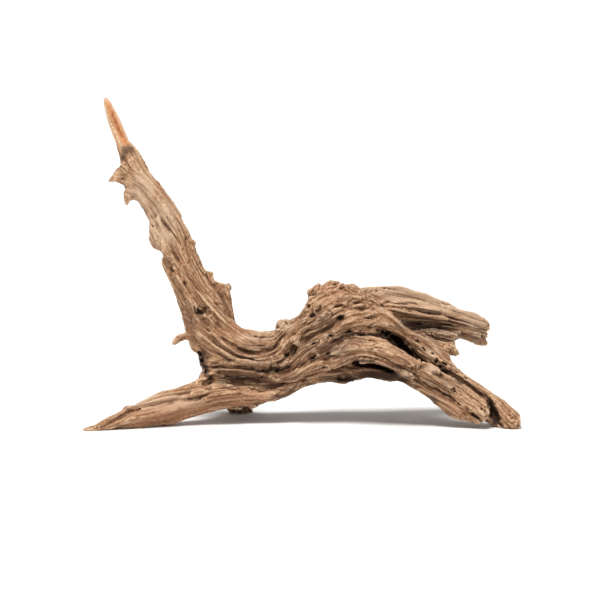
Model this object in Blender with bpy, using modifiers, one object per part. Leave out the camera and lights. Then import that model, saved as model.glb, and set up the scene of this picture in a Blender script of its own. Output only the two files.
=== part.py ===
"""Horn driftwood: one weathered piece of wood standing on three low points.

A tall horn ends in a bare spike, a root runs out to the left, a burl crowns the trunk, a thick
branch points right and back, and a two-stranded leg runs down to the right. Metres, +Z up,
+X to the right, +Y to the back. The outlines were read by eye in millimetres on one upright
plane, and seen() carries each reading along its sight line to the depth where the wood lies.
"""

import math

import bpy
import bmesh
import numpy as np
from mathutils import Vector

MM = 0.001

# Where the readings were taken from: the eye, and the upright plane that carries the millimetres
EYE_Y = -2377.0
EYE_Z = 326.0
READ_Y = -20.0

# How fine the wood is while it is shaped, and how many faces it keeps
GRAIN_CELL = 1.6
SOFTEN_LIMBS = 0.5
SOFTEN_CARVING = 0.25
FACES_KEPT = 11750

RING_POINTS = 48
ROWS_PER_STATION = 5
LEAST_HALF = 0.7
SEED = 7

# Cords of grain that run round a limb: how far each stands out of the core, its place and girth
CORD_POINTS = 10
CORD_OVERLAP = 1.06
CORD_RELIEF_BEHIND = 1.05
CORD_RELIEF_IN_FRONT = 0.7
CORD_SHARE_OF_LIMB = 0.6
CORD_OFF_PLACE = 0.22
CORD_SWING = (0.1, 0.3)
CORD_SWING_WAVES = 5
CORD_GIRTH = (0.78, 1.18)
CORD_GIRTH_WAVER = 0.16
CORD_GIRTH_WAVES = 9
CORD_LEAST_GIRTH = 0.5
ROWS_CUT_SHORT = 3

# How boldly the readings below are carved, and how soon they fade where the wood turns away
READ_RELIEF = 1.35
FACING_GAIN = 1.6
CREST_TAPER = 6
GROOVE_TAPER = 5
GROOVE_END_SHARE = 0.4

# Weathering that a rule lays on every side: grooves along each limb, bumps on the crown and pockets
GROOVES_PER_CORD = 1.2
GROOVE_START = (-0.1, 0.7)
GROOVE_LENGTH = (0.2, 0.55)
GROOVE_SWING = 0.25
GROOVE_WAVES = 6
GROOVE_HALF_WIDTH = (2.2, 3.4)
GROOVE_DEPTH = (2.2, 4.6)
GROOVE_IN_FRONT = 0.35
CROWN_LOW = (2, -80, 112)
CROWN_HIGH = (72, 60, 160)
CROWN_BUMPS = 34
BUMP_RADIUS = (3.6, 6.5)
BUMP_HEIGHT = (1.6, 3.6)
POCKETS = 26
POCKET_RADIUS = (2.8, 4.6)
POCKET_DEPTH = (2.5, 5.5)
LUMP_STRETCH = (1.0, 1.5)

# The block that cuts the pads where the wood stands, in metres
BLOCK_WIDTH = 0.8
BLOCK_HEIGHT = 0.1

# Each limb: how many cords of grain run round it, how far they twist from end to end in turns, and
# its stations. A station is one edge of the outline (x, z), the other edge (x, z), the depth of
# its middle and half its thickness.
LIMBS = {
    "horn": (11, 0.16, [
        (-206.5, 348, -203.5, 348, 16, 1.2),
        (-208, 341, -200, 342, 16, 3.2),
        (-206, 328, -195, 329, 15, 5.0),
        (-202, 316, -189, 317, 14, 6.2),
        (-197.5, 303, -184, 304, 13, 6.6),
        (-192, 290, -178, 296, 12, 7.2),
        (-190, 277, -167, 282, 11, 9.5),
        (-186, 261, -156, 264, 9, 12),
        (-177, 243, -142, 245, 7, 15),
        (-167, 228, -130, 227, 5, 17),
        (-160, 210, -123, 209, 3, 19),
        (-157, 192, -113, 191, 1, 21),
        (-147, 175, -107, 175, 0, 23),
        (-141, 157, -99, 161, -2, 25),
        (-134, 141, -84, 145, -4, 27),
        (-128, 123, -73, 128, -6, 30),
        (-123, 104, -70, 109, -9, 31),
        (-117, 86, -61, 99, -12, 31),
        (-104, 68, -52, 97, -14, 30),
        (-80, 56, -43, 96, -15, 29),
        (-52, 53, -35, 95.5, -15, 29),
        (-26, 52, -27, 96.5, -15, 29),
        (-4, 58, -14, 105, -15, 30),
        (16, 70, -1, 115, -15, 31),
        (32, 84, 8, 127, -14, 31),
        (46, 98, 15, 139, -12, 30),
        (58, 112, 26, 146, -10, 26),
    ]),
    "trunk": (15, 0.05, [
        (-112, 48, -110, 16, -32, 12),
        (-98, 78, -92, 17, -20, 24),
        (-74, 92, -72, 20, -10, 32),
        (-50, 91, -48, 24, -6, 36),
        (-30, 90, -28, 28, -4, 38),
        (-10, 99, -7, 36, -4, 39),
        (6, 112, 14, 46, -5, 40),
        (16, 128, 32, 52, -6, 41),
        (35, 140, 50, 56, -7, 41),
        (58, 138, 64, 66, -7, 38),
        (82, 130, 84, 76, -5, 31),
        (98, 116, 98, 82, -3, 22),
        (106, 106, 106, 88, -2, 12),
    ]),
    "root": (10, 0.12, [
        (-236, -8.5, -236, -10.8, -93, 1.6),
        (-221, -3, -221, -11, -90, 4.5),
        (-206, 5, -207, -10, -84, 7),
        (-190, 14, -192, -8, -76, 9.5),
        (-175, 20.5, -176, -7.5, -68, 12.5),
        (-158, 27, -160, -5.5, -60, 15),
        (-142, 33, -143, -3, -52, 17),
        (-124, 40, -121, 4.5, -43, 19),
        (-102, 50, -98, 10, -34, 23),
        (-80, 54, -78, 13.5, -26, 26),
        (-60, 52, -58, 15.5, -20, 27),
        (-40, 48, -39, 20.5, -16, 27),
        (-20, 47, -18, 26.5, -12, 27),
        (0, 54, 3, 38.5, -6, 26),
        (25, 66, 27, 43.5, 2, 24),
        (50, 68, 49, 41.5, 8, 22),
        (76, 68, 74, 48.5, 8, 18),
        (100, 61, 99, 44, 0, 15),
        (118, 54, 116, 41, -10, 13),
        (135, 46, 131, 32, -26, 12),
        (150, 33, 145, 19.5, -41, 11),
        (163, 20, 156, 8, -53, 9),
    ]),
    "burl": (12, 0.2, [
        (-8, 100, 14, 62, -22, 24),
        (4, 117, 32, 70, -22, 32),
        (13, 134, 48, 82, -22, 36),
        (27, 144, 62, 92, -20, 36),
        (44, 144.5, 78, 98, -16, 32),
        (66, 141, 92, 104, -10, 24),
        (86, 134, 100, 112, -4, 14),
    ]),
    "branch": (10, 0.1, [
        (44, 138, 56, 92, -6, 28),
        (66, 142, 70, 97, 0, 28),
        (84, 145, 86, 100, 8, 27),
        (110, 143.5, 110, 100, 18, 24),
        (135, 137, 135, 98, 28, 21),
        (160, 125.5, 160, 95, 38, 18),
        (180, 118, 180, 90, 46, 15),
        (192, 113.5, 192, 87, 51, 12.5),
        (201.5, 107, 200, 91.5, 55, 10),
    ]),
    "branch_spike": (0, 0, [
        (168, 99, 166, 91, 44, 7),
        (182, 95, 180, 87.5, 48, 7),
        (191, 90, 190, 84, 50, 5),
        (201.5, 85, 201, 83, 52, 1.5),
    ]),
    "branch_web": (4, 0.05, [
        (98, 112, 98, 80, 6, 16),
        (116, 108, 114, 82, 12, 14),
        (136, 104, 134, 84, 19, 12),
        (156, 101.5, 154, 85, 26, 9),
        (167, 95, 166, 90, 30, 3),
    ]),
    "stub_upper": (4, 0.1, [
        (108, 102, 108, 82, 0, 14),
        (133, 97.5, 132, 80, 4, 13),
        (152, 93.5, 151, 79, 8, 10),
        (163, 91, 162.5, 80.5, 11, 7),
        (167.5, 90, 165, 84, 12, 4),
    ]),
    "stub_lower": (4, 0.1, [
        (126, 92, 126, 60, -24, 14),
        (146, 86, 147, 66, -20, 12),
        (158, 82.5, 158, 70, -17, 9),
        (168, 78.5, 168, 71.5, -15, 6),
        (170.5, 76, 170.5, 73, -14, 3),
    ]),
    "leg_outer": (6, 0.15, [
        (-38, 70, -34, 56, -34, 10),
        (-18, 76, -12, 56, -38, 12),
        (4, 88, 10, 64, -40, 14),
        (26, 98, 30, 76, -41, 15),
        (46, 108, 48, 86, -41, 16),
        (66, 120, 68, 94, -36, 18),
        (84, 124, 84, 96, -29, 19),
        (98, 113, 94, 96, -29, 17),
        (114, 101, 108, 89, -31, 15),
        (130, 94, 121, 77, -33, 14),
        (146, 84, 135, 64, -36, 14),
        (160, 68, 147, 48, -39, 14),
        (173, 54, 160, 34, -43, 13.5),
        (190, 41.5, 176, 20, -49, 13),
        (207, 30, 192, 4, -56, 13),
        (222, 21, 206, -4, -63, 13),
        (232, 12.5, 216, -8, -69, 12),
        (239.5, 6, 227, -9, -74, 10.5),
    ]),
    "leg_inner": (7, 0.15, [
        (-28, 58, -26, 44, -30, 9),
        (-6, 62, -2, 46, -34, 12),
        (14, 70, 18, 52, -38, 14),
        (32, 82, 36, 56, -42, 15),
        (50, 92, 52, 64, -46, 16),
        (66, 94, 64, 67, -49, 17),
        (84, 91, 80, 67, -51, 17),
        (98, 84, 94, 61, -52, 17),
        (114, 74, 108, 53, -54, 16.5),
        (129, 64, 122, 42, -56, 16),
        (147, 56, 136, 29, -59, 16),
        (164, 47, 151, 17, -62, 15.5),
        (180, 38, 164, 8, -66, 14.5),
        (194, 28, 181, 2, -71, 13),
        (206, 17, 197, -4, -75, 12),
    ]),
    "leg_back": (6, 0.12, [
        (74, 112, 70, 66, 8, 22),
        (92, 108, 88, 60, 6, 21),
        (110, 98, 104, 54, 1, 18),
        (126, 86, 118, 48, -8, 16),
        (142, 72, 134, 40, -20, 14),
        (158, 56, 150, 28, -34, 12),
        (176, 42, 170, 18, -48, 10),
        (196, 30, 192, 10, -60, 8),
    ]),
    "back_root": (9, 0.12, [
        (-98, 74, -34, 68, -4, 27),
        (-96, 56, -40, 51, 16, 23),
        (-92, 39, -47, 36, 33, 17.5),
        (-85, 25, -51, 23, 45, 14),
        (-77, 12, -51, 11, 53, 12.5),
        (-73, 2, -51, 1, 60, 11),
    ]),
    "back_spur": (0, 0, [
        (-84, 46, -70, 36, 30, 8),
        (-87, 42, -75, 33, 42, 5.6),
        (-89, 37, -80, 31, 52, 3.6),
        (-88, 33, -84, 30, 59, 1.6),
    ]),
    "spur_upper": (0, 0, [
        (-181, 285, -176, 262, 8, 9),
        (-190, 277, -184, 262, 6, 6),
        (-197, 270, -190, 258, 4, 4.5),
        (-203, 261, -197, 253, 2, 3.2),
        (-206.5, 257, -204, 254, 1, 1.4),
    ]),
    "spur_middle": (0, 0, [
        (-178, 264, -168, 254, 6, 8),
        (-187, 258, -174, 243, 3, 6.5),
        (-189, 249, -178, 238, 1, 5),
        (-187.5, 239, -181, 235, 0, 3.2),
        (-186, 232, -183, 232, -1, 1.6),
    ]),
    "twig": (0, 0, [
        (-113, 100, -112, 84, -16, 7),
        (-121, 94.5, -120, 87.5, -20, 4),
        (-128, 94, -127, 87, -24, 3.2),
        (-134, 90, -132, 85.5, -28, 2.4),
        (-136.8, 86, -134, 83, -31, 1.4),
    ]),
    "plate": (0, 0, [
        (-104, 158, -96, 132, -8, 11),
        (-94, 153, -88, 132, -9, 9),
        (-85, 149, -80, 132, -9, 7),
        (-76, 147.5, -74, 136, -9, 4),
    ]),
    "rim_knob": (0, 0, [
        (-16, 106, -10, 94, -4, 9),
        (-21, 110, -17, 96, -3, 7),
        (-25.5, 107, -24, 98, -2, 4),
        (-26.5, 104, -26, 101, -2, 1.5),
    ]),
}

# Lumps of the burl's crown and the horn's edge: x, z, depth and radius
LUMPS = [
    (12.5, 137.5, -12, 4.6), (19, 142, -14, 5.6), (33, 146, -16, 6.2), (46, 142.5, -14, 5.4),
    (58, 141, -12, 5.4), (27, 139, -30, 6.5), (41, 136, -34, 6.5), (15, 128, -30, 7),
    (24, 131, 8, 8), (44, 136, 12, 8), (-3, 87, -47, 6.2), (-112.5, 191.5, 0, 3.4),
    (-146, 252, 6, 4), (52, 128, -40, 6), (36, 122, -46, 6),
]

# Crests that stand out of the wood, read on the plane: half width, height, points
CRESTS = [
    (4.2, 3.2, [(-128, 168), (-118, 152), (-110, 140), (-100, 132), (-92, 122), (-84, 112), (-76, 104),
                (-66, 96), (-57, 90), (-50, 87), (-44, 85), (-36, 83), (-30, 84), (-26, 88)]),
    (4.0, 2.6, [(-124, 93), (-116, 97), (-108, 93), (-100, 88), (-92, 82), (-82, 75), (-73, 69),
                (-66, 66), (-55, 65), (-42, 65), (-30, 66), (-22, 69)]),
    (4.6, 3.6, [(-92, 57), (-80, 56), (-68, 55), (-55, 53), (-45, 52), (-35, 49), (-25, 46.5),
                (-15, 46), (-5, 48.5), (8, 53), (18, 58)]),
    (5.0, 2.6, [(-112, 10), (-100, 13), (-85, 18), (-70, 19), (-55, 20), (-42, 25), (-28, 31),
                (-12, 37), (2, 42), (14, 47)]),
    (5.0, 2.0, [(-180, 16), (-165, 20), (-150, 25), (-135, 28), (-120, 31), (-108, 34), (-97, 33),
                (-85, 31), (-70, 32), (-55, 33), (-40, 34)]),
    (4.6, 2.6, [(-28, 76), (-22, 84), (-15, 92), (-5, 100), (5, 107), (12, 113), (18, 122)]),
    (4.0, 2.0, [(-20, 98), (-8, 106), (2, 114), (8, 124), (12, 132)]),
    (5.0, 2.6, [(0, 72), (12, 80), (25, 86), (38, 92), (50, 101), (62, 106), (75, 108), (88, 106),
                (100, 102), (110, 96)]),
    (5.5, 2.2, [(48, 80), (60, 84), (72, 87), (84, 85), (95, 80), (105, 74), (115, 68), (125, 62)]),
    (4.0, 3.2, [(54, 70), (70, 73), (85, 70), (97, 64), (108, 57), (121, 48)]),
    (4.5, 2.0, [(128, 57), (148, 52), (165, 42), (180, 33), (195, 24)]),
    (4.0, 3.2, [(76, 131), (84, 125), (91, 118), (98, 112), (107, 105), (114, 98), (124, 92),
                (136, 84), (147, 75), (156, 64), (166, 54), (178, 46)]),
    (5.0, 1.6, [(70, 140), (90, 138), (110, 137), (130, 131), (150, 123), (170, 115), (190, 107)]),
    (4.0, 2.0, [(96, 121), (108, 117), (122, 115), (138, 112), (154, 111), (166, 107), (180, 103)]),
    (3.6, 2.0, [(-182, 268), (-170, 262), (-160, 250), (-150, 238), (-141, 226), (-133, 214),
                (-126, 200), (-121, 186), (-116, 172)]),
    (3.6, 2.0, [(-170, 236), (-160, 226), (-152, 212), (-148, 198), (-141, 184), (-134, 160),
                (-127, 140), (-120, 120)]),
    (3.0, 1.6, [(132, 40), (148, 34), (162, 25), (176, 14)]),
    (2.8, 2.0, [(-62, 97), (-50, 95), (-40, 94), (-30, 93), (-22, 97), (-12, 103), (-3, 109)]),
    (2.8, 2.4, [(-98, 108), (-88, 99), (-78, 92), (-68, 85), (-58, 80.5), (-48, 77.5), (-40, 75.5),
                (-33, 75.5), (-26, 79), (-21, 86)]),
    (2.8, 2.4, [(-106, 104), (-96, 96), (-86, 88), (-76, 81), (-66, 75.5), (-55, 72), (-44, 70.5),
                (-34, 70), (-26, 72), (-19, 77)]),
    (3.0, 2.2, [(-14, 52), (4, 57), (22, 62), (38, 66), (50, 74)]),
    (3.0, 2.2, [(4, 62), (20, 70), (36, 75), (54, 82), (68, 84)]),
    (3.0, 2.2, [(14, 88), (26, 92), (38, 98), (48, 106), (60, 113), (74, 117), (86, 119)]),
    (3.0, 2.0, [(128, 60), (140, 56), (149, 51)]),
    (3.0, 2.0, [(90, 77), (105, 70), (120, 60), (134, 51), (150, 43), (166, 34), (182, 23)]),
    (2.8, 2.0, [(30, 127), (44, 132), (60, 134), (76, 135)]),
    (3.0, 2.2, [(-118, 34), (-104, 40), (-92, 41), (-78, 38), (-62, 37), (-46, 38)]),
    (2.8, 2.0, [(-196, 288), (-188, 272), (-178, 256)]),
]

# Grooves and clefts sunk in the wood, read on the plane: half width, depth, points
GROOVES = [
    (3.8, 6.5, [(-32, 60), (-22, 64), (-15, 68), (-10, 73), (-7, 79)]),
    (3.6, 6.0, [(4, 88), (12, 93), (20, 97), (27, 99), (33, 103), (38, 108), (43, 113), (47, 116)]),
    (4.0, 6.0, [(-31, 76), (-26, 81), (-22, 88), (-17, 91), (-11, 93)]),
    (6.0, 9.5, [(-84, 50), (-72, 47), (-60, 45.5), (-50, 46), (-42, 44.5), (-32, 42)]),
    (3.6, 4.6, [(-100, 91), (-90, 84), (-82, 79), (-73, 74), (-64, 70), (-52, 69.5)]),
    (2.6, 2.6, [(-95, 77), (-84, 72), (-76, 68), (-68, 67)]),
    (3.4, 4.4, [(-92, 61), (-75, 59), (-60, 58.5), (-47, 57)]),
    (3.2, 4.6, [(-45, 55), (-36, 54), (-30, 56.5), (-22, 55), (-14, 57), (-6, 63)]),
    (3.8, 4.4, [(-104, 110), (-92, 100), (-84, 93), (-74, 86), (-62, 79), (-52, 76), (-42, 74)]),
    (3.0, 4.0, [(-42, 78), (-34, 78), (-29, 82)]),
    (3.6, 6.5, [(31, 86), (38, 88), (45, 92), (50, 96), (56, 99)]),
    (3.4, 4.0, [(58, 97), (64, 99), (72, 100), (80, 101)]),
    (4.0, 4.0, [(54, 88), (66, 86), (78, 88), (86, 85)]),
    (5.4, 13.0, [(87, 96), (93, 94), (99, 91), (105, 86), (112, 81), (118, 75), (124, 70), (131, 64)]),
    (4.2, 10.0, [(53, 63), (62, 65), (72, 64), (80, 62), (90, 59), (100, 55)]),
    (3.6, 6.5, [(134, 65), (142, 60), (150, 55), (158, 50), (168, 46), (178, 41), (186, 35), (195, 28),
                (202, 22), (204, 14), (206, 4)]),
    (3.4, 5.0, [(122, 47), (132, 42), (140, 37), (150, 32), (160, 26), (169, 19)]),
    (4.0, 5.0, [(75, 133), (82, 130), (89, 126), (97, 126)]),
    (3.4, 4.2, [(98, 126), (115, 126), (131, 125)]),
    (3.4, 4.4, [(116, 123), (124, 120), (132, 118), (145, 117), (155, 116), (162, 112), (174, 109)]),
    (5.6, 9.0, [(114, 105), (122, 102), (135, 101), (150, 101), (164, 98), (174, 95)]),
    (2.6, 3.2, [(122, 97), (130, 94), (138, 90), (150, 88), (162, 86)]),
    (3.0, 3.4, [(22, 66), (30, 67), (38, 70), (44, 70)]),
    (3.0, 3.6, [(-2, 66), (4, 72), (10, 79), (18, 84)]),
    (3.0, 3.0, [(20, 78), (30, 77), (40, 78), (48, 76)]),
    (2.6, 3.0, [(46, 121), (54, 121), (62, 122), (74, 122)]),
    (2.6, 3.0, [(58, 111), (68, 112), (78, 112), (86, 112)]),
    (3.6, 4.2, [(-176, 254), (-170, 250), (-163, 241), (-158, 235), (-152, 227), (-146, 216),
                (-141, 209), (-136, 203), (-131, 196), (-128, 188)]),
    (3.4, 3.6, [(-163, 232), (-157, 224), (-153, 210), (-147, 196), (-140, 190), (-135, 180),
                (-129, 170)]),
    (4.2, 5.0, [(-141, 176), (-136, 169), (-130, 162), (-124, 155)]),
    (3.6, 6.0, [(-113, 117), (-108, 118), (-100, 122)]),
    (3.2, 3.2, [(-210, -3), (-203, 0), (-195, 4), (-185, 9), (-175, 11)]),
    (3.2, 3.4, [(-146, 17), (-137, 20), (-128, 22), (-112, 25), (-103, 28), (-96, 31)]),
    (4.0, 5.0, [(-107, 38), (-99, 40), (-92, 46)]),
    (2.6, 2.6, [(178, 12), (186, 7), (194, 4)]),
    (3.0, 3.2, [(-90, 106), (-80, 97), (-72, 90), (-64, 84), (-55, 80), (-46, 79)]),
    (3.2, 3.6, [(-84, 90), (-75, 84), (-66, 78), (-58, 75.5), (-50, 74), (-40, 72.8), (-30, 73),
                (-22, 78)]),
    (3.2, 3.8, [(-62, 94), (-52, 92), (-42, 89), (-33, 88), (-27, 91), (-18, 98), (-8, 104)]),
    (2.6, 2.6, [(-72, 35), (-56, 34), (-44, 34), (-30, 38), (-16, 42)]),
    (3.2, 3.8, [(0, 48), (14, 52), (26, 56), (38, 57), (48, 60)]),
    (2.6, 2.6, [(2, 96), (12, 99), (22, 103), (30, 109)]),
    (3.0, 4.0, [(136, 59), (148, 50), (160, 44), (172, 36), (184, 27), (196, 17)]),
    (3.2, 3.8, [(96, 66), (110, 58), (124, 53), (138, 45), (150, 38)]),
    (3.2, 3.6, [(112, 95), (122, 87), (132, 82), (142, 72), (152, 64)]),
    (2.6, 2.2, [(92, 135), (112, 133), (132, 129), (152, 122), (172, 115), (190, 109)]),
    (3.2, 3.4, [(118, 112), (138, 108), (158, 106), (178, 102), (198, 97)]),
    (3.0, 3.6, [(19, 108), (18, 115), (22, 121), (29, 121), (34, 116), (33, 109), (27, 105), (21, 106)]),
    (3.2, 3.6, [(36, 124), (44, 124), (52, 128), (64, 127)]),
    (3.2, 3.6, [(-4, 108), (4, 114), (9, 121), (14, 128)]),
]

# Open holes and rotted pockets, read on the plane: x, z, radius, depth
HOLES = [
    (33, 93, 3.4, 6), (67, 94, 3.0, 5), (15, 84, 3.0, 4), (13, 69, 3.6, 6), (28, 71, 4.2, 5),
    (2, 88, 4.4, 7), (-8, 80, 4.0, 6), (-14, 72, 5.0, 6), (-137, 163, 4.0, 5), (166, 32, 3.2, 4),
    (131, 77, 3.0, 3.5), (151, 57, 2.8, 4), (155, 61, 2.8, 3.5), (-187, 252, 2.6, 4),
    (207, 10, 4.2, 7), (44, 112, 4.0, 7), (53, 97, 4.2, 7),
    (12, 113, 4.0, 4.5), (-123, 149, 3.0, 3), (-158, 219, 2.8, 3), (-47, 92, 2.6, 3), (-69, 86, 2.6, 2.5),
    (140, 71, 2.8, 3), (147, 63, 2.8, 3), (60, 141, 2.6, 2.5),
]


def seen(x, z, depth):
    """The point at this depth (mm) that lies on the sight line of a reading, in mm."""
    stretch = (depth - EYE_Y) / (READ_Y - EYE_Y)
    return np.array([x * stretch, depth, EYE_Z + (z - EYE_Z) * stretch])


def readings(points):
    """The plane readings (x, z) of points given in mm."""
    stretch = (points[:, 1] - EYE_Y) / (READ_Y - EYE_Y)
    return np.column_stack([points[:, 0] / stretch, EYE_Z + (points[:, 2] - EYE_Z) / stretch])


def eased(values, per_gap):
    """Rows of values with per_gap smooth steps between each two (Catmull-Rom)."""
    rows = np.asarray(values, float)
    padded = np.vstack([2 * rows[0] - rows[1], rows, 2 * rows[-1] - rows[-2]])
    out = []
    for i in range(len(rows) - 1):
        a, b, c, d = padded[i : i + 4]
        for step in range(per_gap):
            t = step / per_gap
            out.append(0.5 * (2 * b + (c - a) * t + (2 * a - 5 * b + 4 * c - d) * t**2
                              + (3 * b - a - 3 * c + d) * t**3))
    out.append(rows[-1])
    return np.array(out)


def clear_scene():
    for obj in list(bpy.data.objects):
        bpy.data.objects.remove(obj, do_unlink=True)


def collection(name):
    made = bpy.data.collections.new(name)
    bpy.context.scene.collection.children.link(made)
    return made


def skin_rings(mesh, rings):
    """Faces between closed rings of points, with both ends capped."""
    made = [[mesh.verts.new(Vector(point * MM)) for point in ring] for ring in rings]
    for near, far in zip(made, made[1:]):
        for i in range(len(near)):
            j = (i + 1) % len(near)
            mesh.faces.new((near[i], near[j], far[j], far[i]))
    mesh.faces.new(reversed(made[0]))
    mesh.faces.new(made[-1])


def ring_angles(points):
    return np.arange(points) * 2 * math.pi / points


def add_limb(mesh, cords, twist, stations, draw):
    """A limb: a plain core, and cords of grain laid round it that overlap one another.

    It returns the grooves that weather cuts along it: half width, depth and points.
    """
    rows = eased(stations, ROWS_PER_STATION)
    depths = rows[:, 4]
    starts = np.array([seen(x, z, depth) for x, z, depth in zip(rows[:, 0], rows[:, 1], depths)])
    ends = np.array([seen(x, z, depth) for x, z, depth in zip(rows[:, 2], rows[:, 3], depths)])
    middles, reaches = (starts + ends) / 2, (starts - ends) / 2
    wide = np.maximum(np.linalg.norm(reaches, axis=1), LEAST_HALF)
    thick = np.maximum(rows[:, 5], LEAST_HALF)
    most = CORD_SHARE_OF_LIMB * np.minimum(wide, thick)
    sideways = reaches / wide[:, None]
    into = np.array([0.0, 1.0, 0.0])
    cord = np.zeros(len(rows))
    if cords:
        cord = CORD_OVERLAP * math.pi / cords * np.sqrt((wide**2 + thick**2) / 2)
        cord = np.minimum(cord, most)

    angles = ring_angles(RING_POINTS)
    behind = 0.5 + 0.5 * np.tanh(3 * np.sin(angles))
    relief = CORD_RELIEF_IN_FRONT + (CORD_RELIEF_BEHIND - CORD_RELIEF_IN_FRONT) * behind
    core = []
    for row in range(len(rows)):
        sunk = relief * cord[row]
        core.append(middles[row] + ((wide[row] - sunk) * np.cos(angles))[:, None] * sideways[row]
                    + ((thick[row] - sunk) * np.sin(angles))[:, None] * into)
    skin_rings(mesh, core)

    along = np.linspace(0, 1, len(rows))
    for number in range(cords):
        turn = 2 * math.pi * (number + draw.uniform(-CORD_OFF_PLACE, CORD_OFF_PLACE)) / cords
        swing, phase = draw.uniform(*CORD_SWING), draw.uniform(0, 2 * math.pi)
        waver = CORD_GIRTH_WAVER * np.sin(CORD_GIRTH_WAVES * along + 2 * phase)
        around = turn + 2 * math.pi * twist * along + swing * np.sin(CORD_SWING_WAVES * along + phase)
        girth = cord * draw.uniform(*CORD_GIRTH) * (1 + waver)
        girth = np.clip(girth, CORD_LEAST_GIRTH, most + CORD_LEAST_GIRTH)
        last = len(rows) - 1 - draw.integers(0, ROWS_CUT_SHORT)
        path = middles + ((wide - girth) * np.cos(around))[:, None] * sideways \
            + ((thick - girth) * np.sin(around))[:, None] * into
        rings = []
        for row in range(last + 1):
            ahead = path[min(row + 1, last)] - path[max(row - 1, 0)]
            ahead /= np.linalg.norm(ahead)
            first = np.cross(ahead, into)
            first /= np.linalg.norm(first)
            second = np.cross(ahead, first)
            spread = ring_angles(CORD_POINTS)
            rings.append(path[row] + girth[row] * (np.cos(spread)[:, None] * first
                                                   + np.sin(spread)[:, None] * second))
        skin_rings(mesh, rings)

    grooves = []
    for number in range(int(cords * GROOVES_PER_CORD)):
        start, length = draw.uniform(*GROOVE_START), draw.uniform(*GROOVE_LENGTH)
        first, last = (int(np.clip(at, 0, 1) * (len(rows) - 1)) for at in (start, start + length))
        around = draw.uniform(0, 2 * math.pi) + 2 * math.pi * twist * along \
            + GROOVE_SWING * np.sin(GROOVE_WAVES * along + number)
        path = middles + (wide * np.cos(around))[:, None] * sideways \
            + (thick * np.sin(around))[:, None] * into
        width, depth = draw.uniform(*GROOVE_HALF_WIDTH), draw.uniform(*GROOVE_DEPTH)
        if last > first + 1:
            grooves.append((width, depth, path[first : last + 1 : 2]))
    return grooves


def joined_limbs(name):
    """All limbs and lumps in one mesh, still overlapping, and the grooves along the limbs."""
    mesh = bmesh.new()
    grooves = []
    draw = np.random.default_rng(SEED)
    for cords, twist, stations in LIMBS.values():
        grooves += add_limb(mesh, cords, twist, stations, draw)
    for x, z, depth, radius in LUMPS:
        lump = bmesh.ops.create_icosphere(mesh, subdivisions=3, radius=radius * MM)["verts"]
        stretch = (draw.uniform(*LUMP_STRETCH), draw.uniform(*LUMP_STRETCH), 1)
        bmesh.ops.scale(mesh, verts=lump, vec=stretch)
        bmesh.ops.translate(mesh, verts=lump, vec=Vector(seen(x, z, depth) * MM))
    bmesh.ops.recalc_face_normals(mesh, faces=mesh.faces)
    data = bpy.data.meshes.new(name)
    mesh.to_mesh(data)
    mesh.free()
    return bpy.data.objects.new(name, data), grooves


def apply_modifiers(obj):
    graph = bpy.context.evaluated_depsgraph_get()
    shaped = bpy.data.meshes.new_from_object(obj.evaluated_get(graph))
    obj.modifiers.clear()
    old, obj.data = obj.data, shaped
    bpy.data.meshes.remove(old)


def grow_together(obj, soften):
    """One skin over everything that overlaps, with its joints softened."""
    skin = obj.modifiers.new("skin", "REMESH")
    skin.mode = "VOXEL"
    skin.voxel_size = GRAIN_CELL * MM
    soft = obj.modifiers.new("soft", "SMOOTH")
    soft.factor = soften
    soft.iterations = 1
    apply_modifiers(obj)


def distance_to_line(spots, line):
    """Distance from each spot to a broken line, and how far along the line it is nearest (0 to 1)."""
    line = np.asarray(line, float)
    steps = np.diff(line, axis=0)
    lengths = np.linalg.norm(steps, axis=1)
    before = np.concatenate([[0], np.cumsum(lengths)[:-1]])
    best = np.full(len(spots), 1e9)
    along = np.zeros(len(spots))
    for start, step, length, passed in zip(line, steps, lengths, before):
        t = np.clip((spots - start) @ step / length**2, 0, 1)
        gap = np.linalg.norm(spots - (start + t[:, None] * step), axis=1)
        nearer = gap < best
        best = np.where(nearer, gap, best)
        along = np.where(nearer, (passed + t * length) / lengths.sum(), along)
    return best, along


def hollowed(gap, size):
    """A soft round profile: 1 in the middle, fading over size."""
    return np.exp(-((gap / size) ** 2))


def end_taper(along, sharpness):
    return np.clip(sharpness * np.minimum(along, 1 - along), 0, 1)


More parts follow.
